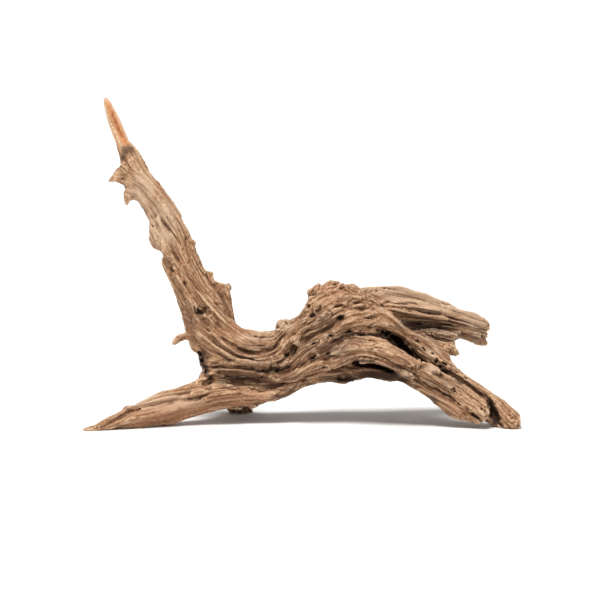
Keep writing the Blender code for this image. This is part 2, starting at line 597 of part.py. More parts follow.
def carve(obj, grooves):
    """Raises crests and sinks grooves, pockets and holes in the skin of the wood."""
    data = obj.data
    count = len(data.vertices)
    points = np.empty(count * 3)
    data.vertices.foreach_get("co", points)
    points = points.reshape(-1, 3) / MM
    normals = np.empty(count * 3)
    data.vertex_normals.foreach_get("vector", normals)
    normals = normals.reshape(-1, 3)
    sight = points - [0, EYE_Y, EYE_Z]
    sight /= np.linalg.norm(sight, axis=1)[:, None]
    facing = np.clip(-FACING_GAIN * (sight * normals).sum(axis=1), 0, 1)

    read = np.zeros(count)
    spots = readings(points)
    for half_width, height, line in CRESTS:
        gap, along = distance_to_line(spots, line)
        read += height * hollowed(gap, half_width) * end_taper(along, CREST_TAPER)
    for half_width, depth, line in GROOVES:
        gap, along = distance_to_line(spots, line)
        kept = GROOVE_END_SHARE + (1 - GROOVE_END_SHARE) * end_taper(along, GROOVE_TAPER)
        read -= depth * hollowed(gap, half_width) * kept
    for x, z, radius, depth in HOLES:
        read -= depth * hollowed(np.linalg.norm(spots - [x, z], axis=1), radius)

    weather = np.zeros(count)
    for half_width, depth, line in grooves:
        gap, along = distance_to_line(points, line)
        weather -= depth * hollowed(gap, half_width) * end_taper(along, GROOVE_TAPER)
    draw = np.random.default_rng(SEED)
    crown = np.flatnonzero(((points > CROWN_LOW) & (points < CROWN_HIGH)).all(axis=1))
    for centre in points[draw.choice(crown, CROWN_BUMPS)]:
        gap = np.linalg.norm(points - centre, axis=1)
        weather += draw.uniform(*BUMP_HEIGHT) * hollowed(gap, draw.uniform(*BUMP_RADIUS))
    for centre in points[draw.choice(count, POCKETS)]:
        gap = np.linalg.norm(points - centre, axis=1)
        weather -= draw.uniform(*POCKET_DEPTH) * hollowed(gap, draw.uniform(*POCKET_RADIUS))

    share = 1 - (1 - GROOVE_IN_FRONT) * facing
    points += (READ_RELIEF * read * facing + weather * share)[:, None] * normals
    data.vertices.foreach_set("co", (points * MM).ravel())
    data.update()


def thin_out(obj, faces):
    data = obj.data
    triangles = sum(len(face.vertices) - 2 for face in data.polygons)
    fewer = obj.modifiers.new("fewer faces", "DECIMATE")
    fewer.ratio = min(1.0, faces / triangles)
    fewer.use_collapse_triangulate = True
    apply_modifiers(obj)


def cut_feet(obj, cutters):
    """Flat pads where the wood stands, cut by a block below the ground."""
    bpy.ops.mesh.primitive_cube_add(size=1, location=(0, 0, -BLOCK_HEIGHT / 2))
    block = bpy.context.object
    block.name = "below_ground"
    block.scale = (BLOCK_WIDTH, BLOCK_WIDTH, BLOCK_HEIGHT)
    for holder in list(block.users_collection):
        holder.objects.unlink(block)
    cutters.objects.link(block)
    block.hide_render = True
    block.display_type = "WIRE"
    bpy.context.view_layer.update()
    pads = obj.modifiers.new("pads", "BOOLEAN")
    pads.operation = "DIFFERENCE"
    pads.object = block
    apply_modifiers(obj)


def centre_over_origin(obj):
    """Puts the middle of the wood's box over the origin, on the ground."""
    corners = np.array([vertex.co for vertex in obj.data.vertices])
    low, high = corners.min(axis=0), corners.max(axis=0)
    shift = Vector((-(low[0] + high[0]) / 2, -(low[1] + high[1]) / 2, -low[2]))
    for vertex in obj.data.vertices:
        vertex.co += shift


def wood_material():
    material = bpy.data.materials.new("weathered_wood")
    material.use_nodes = True
    shader = material.node_tree.nodes["Principled BSDF"]
    shader.inputs["Base Color"].default_value = (0.43, 0.25, 0.14, 1)
    shader.inputs["Roughness"].default_value = 0.75
    shader.inputs["Metallic"].default_value = 0.0
    return material


def main():
    clear_scene()
    wood = collection("horn_driftwood")
    cutters = collection("cutters")
    driftwood, grooves = joined_limbs("driftwood")
    wood.objects.link(driftwood)
    grow_together(driftwood, SOFTEN_LIMBS)
    carve(driftwood, grooves)
    grow_together(driftwood, SOFTEN_CARVING)
    thin_out(driftwood, FACES_KEPT)
    cut_feet(driftwood, cutters)
    centre_over_origin(driftwood)
    driftwood.data.materials.clear()
    driftwood.data.materials.append(wood_material())
    driftwood.data.shade_smooth()


main()
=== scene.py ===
import math

import bmesh
import bpy
import numpy as np
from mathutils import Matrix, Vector
from mathutils.bvhtree import BVHTree


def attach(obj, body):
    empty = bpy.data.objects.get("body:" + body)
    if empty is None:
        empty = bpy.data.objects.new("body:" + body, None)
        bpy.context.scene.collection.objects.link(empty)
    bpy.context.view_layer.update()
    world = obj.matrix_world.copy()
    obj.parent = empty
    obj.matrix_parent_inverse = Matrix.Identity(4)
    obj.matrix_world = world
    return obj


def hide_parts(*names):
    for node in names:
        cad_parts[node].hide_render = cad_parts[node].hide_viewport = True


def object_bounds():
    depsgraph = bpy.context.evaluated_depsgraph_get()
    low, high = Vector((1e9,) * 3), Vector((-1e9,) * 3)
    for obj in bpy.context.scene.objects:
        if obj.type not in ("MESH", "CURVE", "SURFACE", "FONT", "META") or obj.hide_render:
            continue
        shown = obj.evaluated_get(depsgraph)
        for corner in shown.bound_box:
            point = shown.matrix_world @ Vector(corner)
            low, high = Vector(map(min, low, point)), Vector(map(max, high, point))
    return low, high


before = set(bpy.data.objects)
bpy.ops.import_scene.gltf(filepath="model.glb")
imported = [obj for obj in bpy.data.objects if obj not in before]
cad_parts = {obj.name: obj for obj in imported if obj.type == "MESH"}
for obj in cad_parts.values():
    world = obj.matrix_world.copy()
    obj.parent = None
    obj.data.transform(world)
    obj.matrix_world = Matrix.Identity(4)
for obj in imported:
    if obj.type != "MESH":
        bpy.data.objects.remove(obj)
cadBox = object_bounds()
mm = 0.001

# Where the photograph was taken from, the upright plane that the traced lines were read on, and how far
# behind it a depth of 0 lies (mm)
view = {
    "eye": (-2.0, -2362.6, 326.0),
    "readingDepth": -5.6,
    "readingShift": -2.0,
    "depthShift": 20.0,
    "tiltDown": 4.73,
    "lens": 132.7,
    "sensor": 36.0,
}
eye = np.array(view["eye"])

# How fine the wood is at each stage, in mm, how often it is smoothed, and how many triangles it keeps
fineness = {
    "firstCell": 1.3,
    "firstSmoothing": 8,
    "secondCell": 0.95,
    "secondSmoothing": 1,
    "traceStep": 1.2,
    "limbStep": 8,
    "depthJump": 7.0,
    "keptTriangles": 196000,
}

# The outline as it was read on the plane, from the spike's tip round by the right
outline = [
    (-206.2, 347.2), (-204.6, 345.4), (-202.2, 342), (-199.4, 337.5), (-196.5, 332), (-191.5, 321),
    (-187, 311), (-182, 300), (-176, 294), (-168, 283), (-163, 274), (-160, 267), (-154, 259.5),
    (-150, 256.5), (-148.5, 253), (-141, 243), (-133, 232), (-127.5, 222), (-126, 219.5), (-127, 217),
    (-121.5, 208.5), (-117, 199), (-115, 195), (-113, 194.5), (-111.5, 192.5), (-112, 190), (-113, 188),
    (-111, 181.5), (-106.5, 173), (-104, 165), (-101.5, 162), (-98, 160.5), (-94, 160.5), (-93.5, 155),
    (-91.5, 151), (-87, 149), (-80.5, 148), (-75.5, 147.8), (-74, 145.5), (-74.5, 140), (-74, 128),
    (-72, 116.5), (-70.5, 108.5), (-68.5, 104), (-63, 99.5), (-55, 98.7), (-48, 97.7), (-40, 96),
    (-31.5, 96), (-26.5, 97.5), (-24.5, 100), (-25.5, 103.5), (-24.5, 107), (-22, 109.3), (-17, 109.5),
    (-10.5, 109), (-3, 112.5), (1, 116.5), (4, 121), (7.5, 127.5), (10, 131.5), (10, 135), (8.3, 139.5),
    (8.5, 142.3), (12.5, 142.3), (15, 143.2), (15.5, 146.5), (18, 147.8), (20.5, 146.5), (25, 146),
    (28, 148.3), (30.5, 151.3), (34, 152.5), (37.5, 151), (41, 149), (42, 147), (45, 148.3), (49, 146),
    (54.5, 147.5), (58.5, 147), (61.5, 145), (64, 142.3), (69, 143.3), (76, 145.3), (90, 145.7),
    (103, 145.3), (111, 144.3), (118, 141.8), (125, 139.8), (135, 137), (142, 133.3), (150, 130),
    (158, 126.8), (168, 121.5), (176, 119), (185, 117), (190, 115), (195, 112), (200, 108), (201, 103.5),
    (202, 100.5), (200.3, 98), (199, 96.5), (200, 94), (198, 91), (197, 89), (199, 87), (201.5, 83.8),
    (195, 83.3), (190, 84), (186, 86), (178, 89), (171, 91), (168, 90), (166, 88), (164, 84.5),
    (165, 82.8), (167, 79), (169.5, 77), (170, 74), (168, 72), (160, 71.5), (160.5, 68), (163, 64),
    (166, 60), (170, 55.5), (175, 51), (180, 47.5), (185, 44), (190, 41), (195, 37.3), (200, 33.7),
    (206, 30), (212, 26.5), (218, 22), (224, 17), (230, 12), (233, 8.5), (237, 6), (236, 3), (238, 0),
    (237.5, -9), (190, -9), (189, -2), (180, 0.5), (172, 2), (163, 5), (157, 9), (153, 13), (150, 16),
    (145, 19.5), (140, 25), (128, 33), (119, 38), (112, 42), (103, 45), (99, 43.5), (92, 45), (85, 46),
    (78, 47.5), (72, 48), (64, 46), (57, 44.3), (53, 43), (50, 41.3), (43, 41), (33, 43.3), (24, 43.3),
    (18, 42), (5, 39), (-3, 35), (-10, 29.5), (-20, 26), (-27, 23), (-35, 22.3), (-43, 19), (-50, 14.3),
    (-55, 10), (-62, 9.5), (-66, 13.5), (-80, 14), (-90, 12), (-100, 9), (-112, 6), (-130, 0), (-143, -4),
    (-155, -7.5), (-158, -6), (-172, -8), (-182, -14), (-240, -14), (-236, -8.5), (-228, -6), (-220, -3),
    (-209, 3.5), (-197, 8.3), (-191.5, 11.5), (-192, 14.3), (-187, 16), (-180, 17), (-173, 20.5),
    (-165, 24), (-157, 28), (-150, 31), (-137, 34.5), (-126, 37.5), (-118, 40), (-107, 45), (-101, 51),
    (-104.5, 57.5), (-106, 62), (-108, 68), (-110, 74), (-114, 76.5), (-117.5, 80), (-118, 84), (-119, 88),
    (-123, 88.7), (-129, 86.5), (-133.5, 83), (-136.3, 83.3), (-136.5, 86), (-134, 91), (-131, 93.3),
    (-125, 95), (-122, 97), (-123.5, 103), (-126, 115), (-129.5, 127), (-134, 138.5), (-138, 150),
    (-143, 160.5), (-147, 170), (-146.5, 175), (-144.5, 180), (-147.5, 183.5), (-153, 186),
    (-157.5, 188.8), (-160, 193), (-160.3, 204), (-160, 215), (-162, 220), (-165, 226), (-168.5, 231),
    (-172, 236.5), (-176.5, 238.8), (-181, 237.3), (-183, 235), (-184.7, 231.5), (-186.5, 236),
    (-187.5, 241), (-187.5, 245.5), (-185.5, 249), (-187, 253), (-193, 256.7), (-198, 257.7),
    (-203, 257.3), (-204.3, 258.5), (-200, 264), (-197.5, 268), (-195, 271), (-191.5, 273), (-190.5, 277),
    (-191, 283), (-193, 290), (-195.5, 298.5), (-199, 307.5), (-203, 318), (-205, 325), (-207, 334),
    (-208.2, 340), (-207.6, 344.5),
]

# Small crisp forms: depth of the middle, its change per mm of x, thickness, outline read on the plane
blades = {
    "spike": (13, 0, 7.5, [(-206.4, 347), (-205, 345.4), (-202.4, 341), (-199.6, 336), (-195, 328),
        (-189, 314), (-184, 303), (-178, 294), (-172, 280), (-190, 278), (-192.5, 290), (-196, 300),
        (-200.5, 312), (-204, 322), (-206.3, 332), (-207.7, 340)]),
    "spurUpper": (5, 0, 8, [(-178, 282), (-190, 276), (-195, 271), (-200, 264), (-204, 258.5),
        (-203, 257.3), (-198, 257.7), (-193, 256.7), (-188, 254.5), (-180, 256)]),
    "spurMiddle": (3, 0, 8, [(-172, 262), (-182, 256), (-185.5, 249.5), (-187.5, 245), (-187.5, 241),
        (-186.3, 236), (-184.7, 231.5), (-183, 235), (-180.5, 237.5), (-176, 238.8), (-168, 238)]),
    "twig": (-22, 0, 6, [(-110, 98), (-124, 95.5), (-131, 93.3), (-134.3, 91), (-136.5, 86), (-136, 83),
        (-133.5, 83), (-129, 86.5), (-123, 88.7), (-112, 86)]),
    "plate": (-9, 0, 10, [(-104, 160), (-94.5, 160), (-93.5, 155), (-91.5, 151), (-87, 149), (-80.5, 148),
        (-75.5, 147.8), (-74, 145.5), (-74.5, 140), (-74, 128), (-72, 117), (-90, 120)]),
    "rimKnob": (-3, 0, 12, [(-14, 98), (-25, 98), (-25.5, 103.5), (-24.5, 107), (-22, 109.3), (-17, 109.7),
        (-10.5, 109), (-2, 112), (0, 104)]),
    "crownTooth": (-12, 0, 10, [(18, 132), (10, 131.5), (10, 135), (8.3, 139.5), (8.5, 142.3),
        (12.5, 142.3), (18, 143)]),
    "branchEnd": (54, 0, 13, [(182, 116.5), (190, 114.5), (195, 111.5), (199.5, 108), (201, 103.5),
        (202, 100.5), (200.3, 98), (199, 96.5), (200, 94), (198, 91), (197, 89), (199, 87), (201.5, 83.8),
        (195, 83.3), (190, 84), (186, 86), (178, 90)]),
    "upperStub": (8, 0, 13, [(116, 96.5), (128, 97.5), (140, 97.8), (152, 97.2), (163, 95.8),
        (168.5, 92.5), (167.5, 89), (166.5, 86.5), (156, 86.8), (146, 88), (136, 90), (122, 91)]),
    "rootTip": (-92.5, 0.3, 7, [(-236.5, -9.3), (-228, -5.8), (-218, -2.2), (-208, 2.2), (-196, 5),
        (-192, -2), (-200, -7), (-214, -10.5), (-228, -11.3)]),
    "web": (36, 0, 9, [(110, 104), (124, 107), (140, 105.5), (154, 103.5), (168, 101), (173, 97),
        (167, 91), (162, 88), (148, 88), (130, 90), (114, 94)]),
    "wormStrand": (-41.5, -0.09, 9, [(112, 98), (120, 94.5), (130, 91), (138, 88), (144, 84.8),
        (150, 79.5), (156.5, 73), (160, 66), (163, 60), (158, 55), (150.6, 55.5), (145, 58.5), (139, 62),
        (133, 66), (129, 70), (124, 76), (119, 82), (114, 88)]),
    "lowerStub": (-16, 0, 12, [(138, 88), (150, 86), (160, 84.5), (166, 82), (169.8, 78), (170, 74.5),
        (167, 72), (160, 71.5), (152, 74), (144, 79)]),
}

# Open spaces under the strands: depth, width of the edge, its unevenness, outline read on the plane
pits = {
    "underStrand": (20, 1.7, 0.3, [(84.5, 98.4), (88, 99.2), (92.4, 98.8), (97.5, 97), (103, 94),
        (108.5, 90), (113, 85), (117.5, 79.5), (121, 73), (125, 68.5), (127, 66), (125.5, 65), (121.5, 68),
        (117, 72), (111, 76.5), (105.5, 80.5), (100, 84.5), (94.5, 89), (89, 93.5)]),
    "cave": (13, 2.8, 0.8, [(73, 64.5), (79, 66.4), (86, 63.6), (93, 60.5), (99, 57.6), (104, 54.5),
        (98, 51.5), (90, 52.5), (84, 55.5), (78, 59.5), (74, 61.5)]),
    "caveLip": (11, 1.3, 0.9, [(49, 62), (52, 65.5), (57, 67.2), (63, 67.4), (68, 66.2), (75, 66.4),
        (80, 67), (76, 63), (66, 62.8), (57, 62.6)]),
    "caveLow": (7, 1.8, 0.8, [(34, 47), (41, 49.5), (47, 48.3), (54, 49.5), (60, 47.5), (62, 45.6),
        (55, 44.2), (47, 43.4), (40, 43.8)]),
    "underBranch": (2, 2.6, 0.3, [(113, 104), (119, 107.5), (127, 107.5), (133, 105), (142, 103),
        (152, 102.5), (162, 101), (170, 98.5), (166, 96.5), (154, 98), (142, 98.5), (132, 99.5),
        (121, 101)]),
    "legEnd": (13, 1.6, 0.7, [(200, 23), (204, 25), (208.5, 17), (214, 8.5), (218.5, -1), (219, -7),
        (212, -8), (208, -4), (205.5, 1.5), (202, 6.5), (204, 12), (200.5, 18)]),
    "saddleFold": (4, 3.4, 0.3, [(-84, 53), (-70, 53.5), (-55, 50), (-44, 47.5), (-42, 44), (-55, 44.5),
        (-70, 47), (-82, 48.5)]),
    "neckSide": (9, 2.6, 0.4, [(-111, 77), (-105, 77), (-101, 66), (-97, 53), (-102, 50), (-107, 61)]),
}

# Slabs of wood that end in a chopped step: how proud, how wide their sloped edge is, outline
slabs = {
    "shelf": (4.6, 3.0, [(54, 101), (62, 102.5), (72, 102), (80, 103), (84, 100), (84, 97), (86.5, 93),
        (80, 94), (70, 95), (58, 95)]),
    "overCave": (4.4, 0.9, [(78, 79), (92, 78), (104, 74), (114, 70), (122, 66.5), (127.5, 62),
        (125.5, 58), (118, 60), (108, 64), (96, 68), (84, 71)]),
    "lip": (4.2, 0.9, [(60, 71), (72, 70.5), (84, 68), (94, 65), (104, 60.5), (112, 56.5), (119, 52.5),
        (123, 49), (121, 45.5), (114, 48.5), (106, 53), (98, 57.5), (88, 61.5), (76, 66.5), (64, 67.5)]),
    "onLeg": (3.0, 1.1, [(122, 62.5), (132, 62), (141, 59), (149.5, 54), (147.5, 50), (140, 53), (132, 56),
        (122, 58.5)]),
    "shoulder": (1.6, 1.6, [(82, 131), (92, 130), (104, 126), (116, 124.5), (128, 123), (126, 119.5),
        (112, 120), (98, 122), (86, 126)]),
}

# Rough, knobbly spots of the surface: middle and half size, read on the plane
roughSpots = [
    (34, 143, 28, 12), (14, 124, 9, 12), (-20, 104, 10, 7), (26, 112, 12, 10), (-24, 64, 14, 12),
    (166, 78, 8, 12), (199, 96, 6, 16), (-100, 116, 10, 8), (230, 4, 10, 10), (-99, 42, 9, 11),
    (120, 52, 8, 10), (-182, 15, 9, 4),
]

# Furrows: half width, depth, points read on the plane
furrows = [
    (1.3, 1.9, [(-178, 252.6), (-170, 250), (-163, 241), (-158, 235), (-152, 227), (-146, 216),
        (-141, 209), (-136, 203), (-131, 196), (-128, 190), (-124, 180)]),
    (1.2, 1.0, [(-163, 234), (-157, 227), (-150, 219), (-143, 211), (-138, 203)]),
    (1.3, 1.3, [(-140, 200), (-137, 191), (-135, 183), (-132, 177), (-127, 170)]),
    (1.2, 1.2, [(-125, 207), (-122, 200), (-120, 190), (-116, 180)]),
    (1.4, 1.6, [(-140, 226), (-134, 219), (-129, 211)]),
    (1.5, 1.5, [(-140, 175), (-135, 169), (-130, 163), (-125, 157)]),
    (1.6, 2.0, [(-103, 160), (-97, 150), (-91, 142), (-84, 134), (-79, 126), (-75, 118)]),
    (1.2, 1.8, [(-112, 117), (-106, 119), (-98, 124)]),
    (1.0, 1.4, [(-115, 124), (-112, 121), (-110, 116)]),
    (1.4, 2.0, [(-92, 128), (-87, 127), (-83, 126)]),
    (1.6, 2.4, [(-101, 101), (-98, 98), (-95, 96)]),
    (1.8, 2.2, [(-210, -3), (-203, 0), (-195, 4), (-185, 9), (-175, 11)]),
    (1.4, 1.8, [(-186, 11), (-175, 13), (-170, 14)]),
    (1.1, 0.9, [(-142, 18), (-137, 20), (-132, 19)]),
    (1.1, 0.9, [(-125, 24), (-112, 25), (-100, 29)]),
    (1.2, 1.2, [(-110, 24), (-103, 28), (-98, 30)]),
    (1.2, 1.4, [(-107, 31), (-101, 35), (-97, 36)]),
    (1.6, 2.2, [(-102, 38), (-99, 40), (-94, 41)]),
    (1.8, 2.6, [(-103, 42), (-98, 45), (-93, 50)]),
    (1.6, 1.8, [(-118, 10), (-110, 12), (-100, 15), (-86, 19), (-70, 21)]),
    (1.8, 2.4, [(-98, 90), (-90, 84), (-82, 79), (-73, 74), (-65, 70), (-55, 68), (-45, 68)]),
    (1.6, 2.2, [(-92, 76), (-84, 72), (-76, 68), (-70, 67)]),
    (1.4, 1.8, [(-66, 79), (-56, 77), (-48, 77)]),
    (1.2, 2.4, [(9.2, 125.8), (4.5, 118.6), (-1.4, 111.4), (-9.7, 105.4), (-16.8, 99.4), (-22.7, 93.4),
        (-27.5, 88.6), (-33.4, 87.4), (-42, 86)]),
    (1.4, 3.0, [(-10.9, 95.8), (-16.8, 93.4), (-21, 89.8), (-23.9, 83.9), (-28.7, 79.1), (-33.4, 77.9),
        (-46, 77)]),
    (1.3, 2.6, [(-16.8, 91), (-18, 85), (-22.7, 77.9), (-28.7, 73.1), (-34.6, 70.7), (-46, 69)]),
    (1.2, 2.0, [(-26, 94), (-29, 91.5), (-34, 91), (-44, 90)]),
    (1.1, 1.8, [(-36, 82), (-44, 81.5), (-54, 82.5)]),
    (1.1, 1.8, [(-32, 67), (-42, 65.5), (-54, 66)]),
    (1.5, 2.6, [(-9, 74.5), (-12.5, 72), (-16.8, 68.3), (-22.7, 64.7), (-28.7, 62.3)]),
    (1.1, 2.2, [(-1.4, 71.9), (-8.5, 63.5), (-16.8, 56.3), (-23.9, 54.5)]),
    (1.0, 1.8, [(4.5, 63.5), (0, 59.5), (-4, 55)]),
    (1.0, 1.8, [(1.5, 65.5), (-3, 60.5), (-8, 56)]),
    (1.3, 2.6, [(1.5, 92.5), (2.8, 89.5), (0, 86.5)]),
    (1.0, 3.0, [(42.4, 111.4), (37.7, 107.8), (32.9, 103), (25.8, 98.8), (18.7, 95.8), (11.6, 92.2),
        (5.7, 88.6)]),
    (1.2, 2.2, [(17.6, 110.2), (12, 106.5), (6.9, 103)]),
    (1.1, 1.8, [(24, 104), (17, 100.5), (10, 98.5), (4, 96)]),
    (1.5, 3.2, [(60, 98.5), (55.4, 97), (47.1, 95.8), (42.4, 91), (36.5, 87.4), (30.6, 85)]),
    (1.4, 2.8, [(35, 122), (40, 124.2), (45, 124.8), (50, 123.2)]),
    (1.2, 2.2, [(50, 118), (42, 117.5), (36, 115)]),
    (1.1, 1.8, [(56.8, 102), (65, 103.4), (73.4, 103.4), (81, 107), (88, 111)]),
    (1.1, 2.0, [(22.3, 58.7), (35.3, 57.5), (47.1, 61.1), (55, 64.5)]),
    (1.1, 1.8, [(-1, 100), (6, 107), (10, 114)]),
    (2.0, 3.2, [(-95, 60), (-80, 59), (-60, 58.5), (-45, 57)]),
    (2.2, 3.4, [(-45, 55), (-36, 54), (-30, 57), (-26, 57.5), (-20, 56)]),
    (1.8, 3.0, [(-25, 56), (-22, 55)]),
    (1.4, 1.8, [(50, 121), (56, 121), (62, 122), (72, 122)]),
    (1.4, 1.8, [(66, 112), (75, 112), (86, 112)]),
    (1.6, 2.2, [(22, 67), (30, 68), (32, 70), (40, 71), (44, 71)]),
    (2.6, 1.6, [(60, 88), (70, 86), (80, 85), (86, 84)]),
    (1.6, 3.2, [(131, 67.5), (140, 62.3), (148, 57.8), (157.5, 52), (169.4, 47), (178, 41.5), (185, 36),
        (190, 31), (196, 28), (203, 22), (206, 19)]),
    (1.8, 3.0, [(122, 47), (128, 44), (134, 41), (140, 37), (147, 34), (155, 29), (160, 27), (165, 23),
        (169, 20.5)]),
    (1.4, 1.8, [(160, 24), (165, 21), (170, 17)]),
    (1.6, 2.6, [(199, 27), (203, 16), (206, 10), (208, 2), (211, -3)]),
    (1.4, 2.2, [(182, 9), (186, 7), (190, 5), (193, 3)]),
    (2.0, 3.0, [(86, 125), (92, 128), (98, 129)]),
    (1.8, 2.8, [(98, 126), (110, 125.5), (122, 127), (132, 124.5)]),
    (1.8, 3.0, [(116, 123), (122, 121), (127, 119), (135, 117.5), (145, 117), (155, 116)]),
    (1.6, 2.2, [(155, 115), (160, 113), (168, 110), (175, 109), (186, 105), (196, 102)]),
    (1.4, 2.0, [(167, 105), (172, 104), (180, 102)]),
    (1.4, 1.8, [(186, 102.5), (193, 102)]),
    (2.0, 2.4, [(114, 105), (120, 104), (130, 105)]),
    (1.6, 1.4, [(130, 101), (142, 101), (154, 100), (168, 98)]),
    (1.4, 2.4, [(140, 91.5), (147, 88.5), (155, 86.3), (164, 85.2)]),
    (1.4, 1.6, [(92, 139), (104, 137), (118, 134), (134, 130), (150, 124), (166, 118), (182, 112)]),
    (1.4, 1.6, [(96, 120), (106, 116), (118, 113), (134, 111), (150, 110), (166, 108)]),
    (1.0, 0.7, [(118, 92), (126, 87), (136, 81), (146, 73), (154, 66)]),
]

# Crests: half width, height, points read on the plane
crests = [
    (1.8, 1.6, [(-66, 96), (-57, 90), (-50, 87), (-45, 84), (-36, 83), (-30, 84), (-25, 90)]),
    (1.8, 1.4, [(-110, 140), (-102, 130), (-94, 121), (-86, 112), (-78, 104), (-66, 96)]),
    (1.6, 1.2, [(-98, 86), (-90, 80), (-82, 75), (-73, 70), (-64, 66), (-52, 65), (-40, 65)]),
    (1.8, 1.6, [(-90, 56), (-78, 56), (-64, 55), (-50, 53), (-38, 50), (-28, 47)]),
    (1.6, 1.4, [(-45, 52), (-38, 52), (-30, 53)]),
    (1.8, 1.8, [(73, 134), (78, 129), (84, 125), (88, 121), (97, 113), (103, 108), (108, 103), (114, 97),
        (120, 94), (130, 93), (138, 90)]),
    (1.6, 1.4, [(86, 101), (96, 100), (106, 96), (114, 90), (122, 82), (130, 74)]),
    (1.6, 1.2, [(100, 124), (112, 122), (126, 123), (140, 121), (154, 119)]),
    (1.6, 1.2, [(128, 62), (136, 58), (144, 53), (149, 51)]),
    (1.6, 1.2, [(110, 55), (116, 51), (122, 47)]),
    (1.2, 1.3, [(26.7, 54.6), (35, 55.2), (44.4, 57.6), (53.9, 54), (58.6, 51.7)]),
    (2.6, 1.9, [(6, 93), (15, 97.2), (25, 101.5), (33, 106.5)]),
    (3.0, 2.2, [(-6.5, 90), (-4, 87.5)]),
    (1.6, 1.2, [(52, 70), (64, 73), (80, 71), (94, 66), (104, 60)]),
]

# Open holes: x, z, radius, depth
holes = [
    (-108.5, 119.5, 1.4, 3.4), (-111.5, 118, 0.9, 2), (-105.5, 116.5, 0.9, 1.6), (-112.5, 123, 0.8, 1.4),
    (-157, 210, 0.9, 1), (-152, 194, 0.9, 1), (-123, 149, 1.1, 1), (-47, 92, 1.1, 1.4),
    (-8.2, 85.5, 1.2, 2.4), (-13.5, 72.6, 1.6, 2.6), (-24, 55, 1.6, 3), (43, 112.6, 1.9, 4),
    (12.8, 113.8, 1.6, 3), (32, 92.8, 1.5, 3.2), (66.3, 94.8, 1.2, 2.4), (52, 97.3, 1.7, 3.2),
    (15.2, 84.5, 1.3, 2.4), (14, 69.5, 1.7, 3), (30, 74, 1.4, 2), (126.1, 86.3, 1.2, 2.6),
    (131.8, 79.2, 1.2, 3), (133.6, 76.6, 1.2, 3), (141.9, 73.2, 1.2, 3), (147.4, 66.4, 1.2, 3),
    (146, 64.2, 1.2, 3), (153, 63.2, 1.1, 2.6), (155.4, 61.8, 1.1, 2.6), (149.9, 59.7, 1.3, 3),
    (177.7, 47, 1.3, 2.4), (166, 32.5, 1.9, 3.6), (171, 18.5, 1.1, 1.6), (196, 13, 1.3, 2.2),
    (199, 11, 1.2, 2), (-187, 252, 1.2, 2),
]

# Middle lines of the limbs, x, z and depth, for the run of the grain
limbLines = {
    "horn": [(-205, 345, 16), (-197, 318, 14), (-181, 290, 12), (-171, 262, 9), (-149, 228, 5),
        (-136, 192, 1), (-122, 158, -2), (-105, 125, -6), (-88, 96, -12), (-62, 78, -15), (-34, 74, -15),
        (-8, 82, -15), (8, 94, -15), (20, 106, -14), (42, 128, -10)],
    "root": [(-236, -10, -93), (-206, -2, -84), (-175, 7, -68), (-142, 15, -52), (-100, 30, -34),
        (-60, 34, -20), (-20, 37, -12), (25, 55, 2), (75, 58, 8), (118, 48, -10), (150, 27, -41)],
    "trunk": [(-96, 44, -22), (-50, 58, -6), (-10, 66, -4), (24, 90, -6), (60, 104, -7), (98, 100, -3)],
    "branch": [(50, 115, -6), (85, 122, 8), (110, 121, 18), (135, 117, 28), (160, 110, 38), (200, 98, 55)],
    "legOuter": [(-36, 63, -34), (-15, 66, -38), (28, 87, -41), (67, 107, -36), (96, 104, -29),
        (126, 85, -33), (154, 58, -39), (183, 31, -49), (214, 8, -63), (234, -2, -74)],
    "legInner": [(-27, 51, -30), (16, 61, -38), (51, 78, -46), (82, 79, -51), (111, 63, -54),
        (141, 42, -59), (172, 23, -66), (202, 7, -75)],
    "legBack": [(72, 89, 8), (107, 76, 1), (138, 56, -20), (173, 30, -48), (194, 20, -60)],
    "backRoot": [(-66, 71, -4), (-69, 45, 24), (-68, 24, 45), (-62, 6, 58)],
    "stubs": [(108, 92, 0), (133, 89, 4), (152, 86, 8), (165, 87, 12)],
    "lowerStub": [(126, 76, -24), (158, 76, -17), (170, 74, -14)],
    "spike": [(-205, 348, 16), (-203, 335, 15), (-197, 315, 14), (-187, 290, 12)],
    "spurUpper": [(-180, 268, 7), (-194, 264, 4), (-204, 258, 2)],
    "spurMiddle": [(-172, 252, 6), (-184, 244, 2), (-185, 232, 0)],
    "twig": [(-108, 90, -18), (-124, 92, -22), (-136, 84, -24)],
    "plate": [(-92, 124, -9), (-84, 136, -9), (-78, 146, -9)],
}

# How deep the run of the grain is cut into each limb
limbRelief = {
    "horn": 0.65, "root": 0.5, "trunk": 1.0, "branch": 0.7, "legOuter": 0.7, "legInner": 0.8,
    "legBack": 0.9, "backRoot": 0.8, "stubs": 0.9, "lowerStub": 0.6, "spike": 0.15, "spurUpper": 0.3,
    "spurMiddle": 0.3, "twig": 0.25, "plate": 0.5,
}


def easedLine(points, step):
    # a smooth line through listed points, with a point about every step
    rows = np.asarray(points, float)
    padded = np.vstack([2 * rows[0] - rows[1], rows, 2 * rows[-1] - rows[-2]])
    out = []
    for i in range(len(rows) - 1):
        a, b, c, d = padded[i : i + 4]
        count = max(1, int(np.linalg.norm(c - b) / step))
        for t in np.arange(count) / count:
            out.append(0.5 * (2 * b + (c - a) * t + (2 * a - 5 * b + 4 * c - d) * t**2
                              + (3 * b - a - 3 * c + d) * t**3))
    out.append(rows[-1])
    return np.array(out)


def onPlane(x, z):
    # a reading as a point of the reading plane, in the frame's mm
    return np.array([x + view["readingShift"], view["readingDepth"], z])


def readingAtDepth(x, z, depth):
    # a reading carried along its sight line to a depth, in the frame's mm
    y = depth + view["readingDepth"] + view["depthShift"]
    target = onPlane(x, z)
    return eye + (target - eye) * (y - eye[1]) / (target[1] - eye[1])


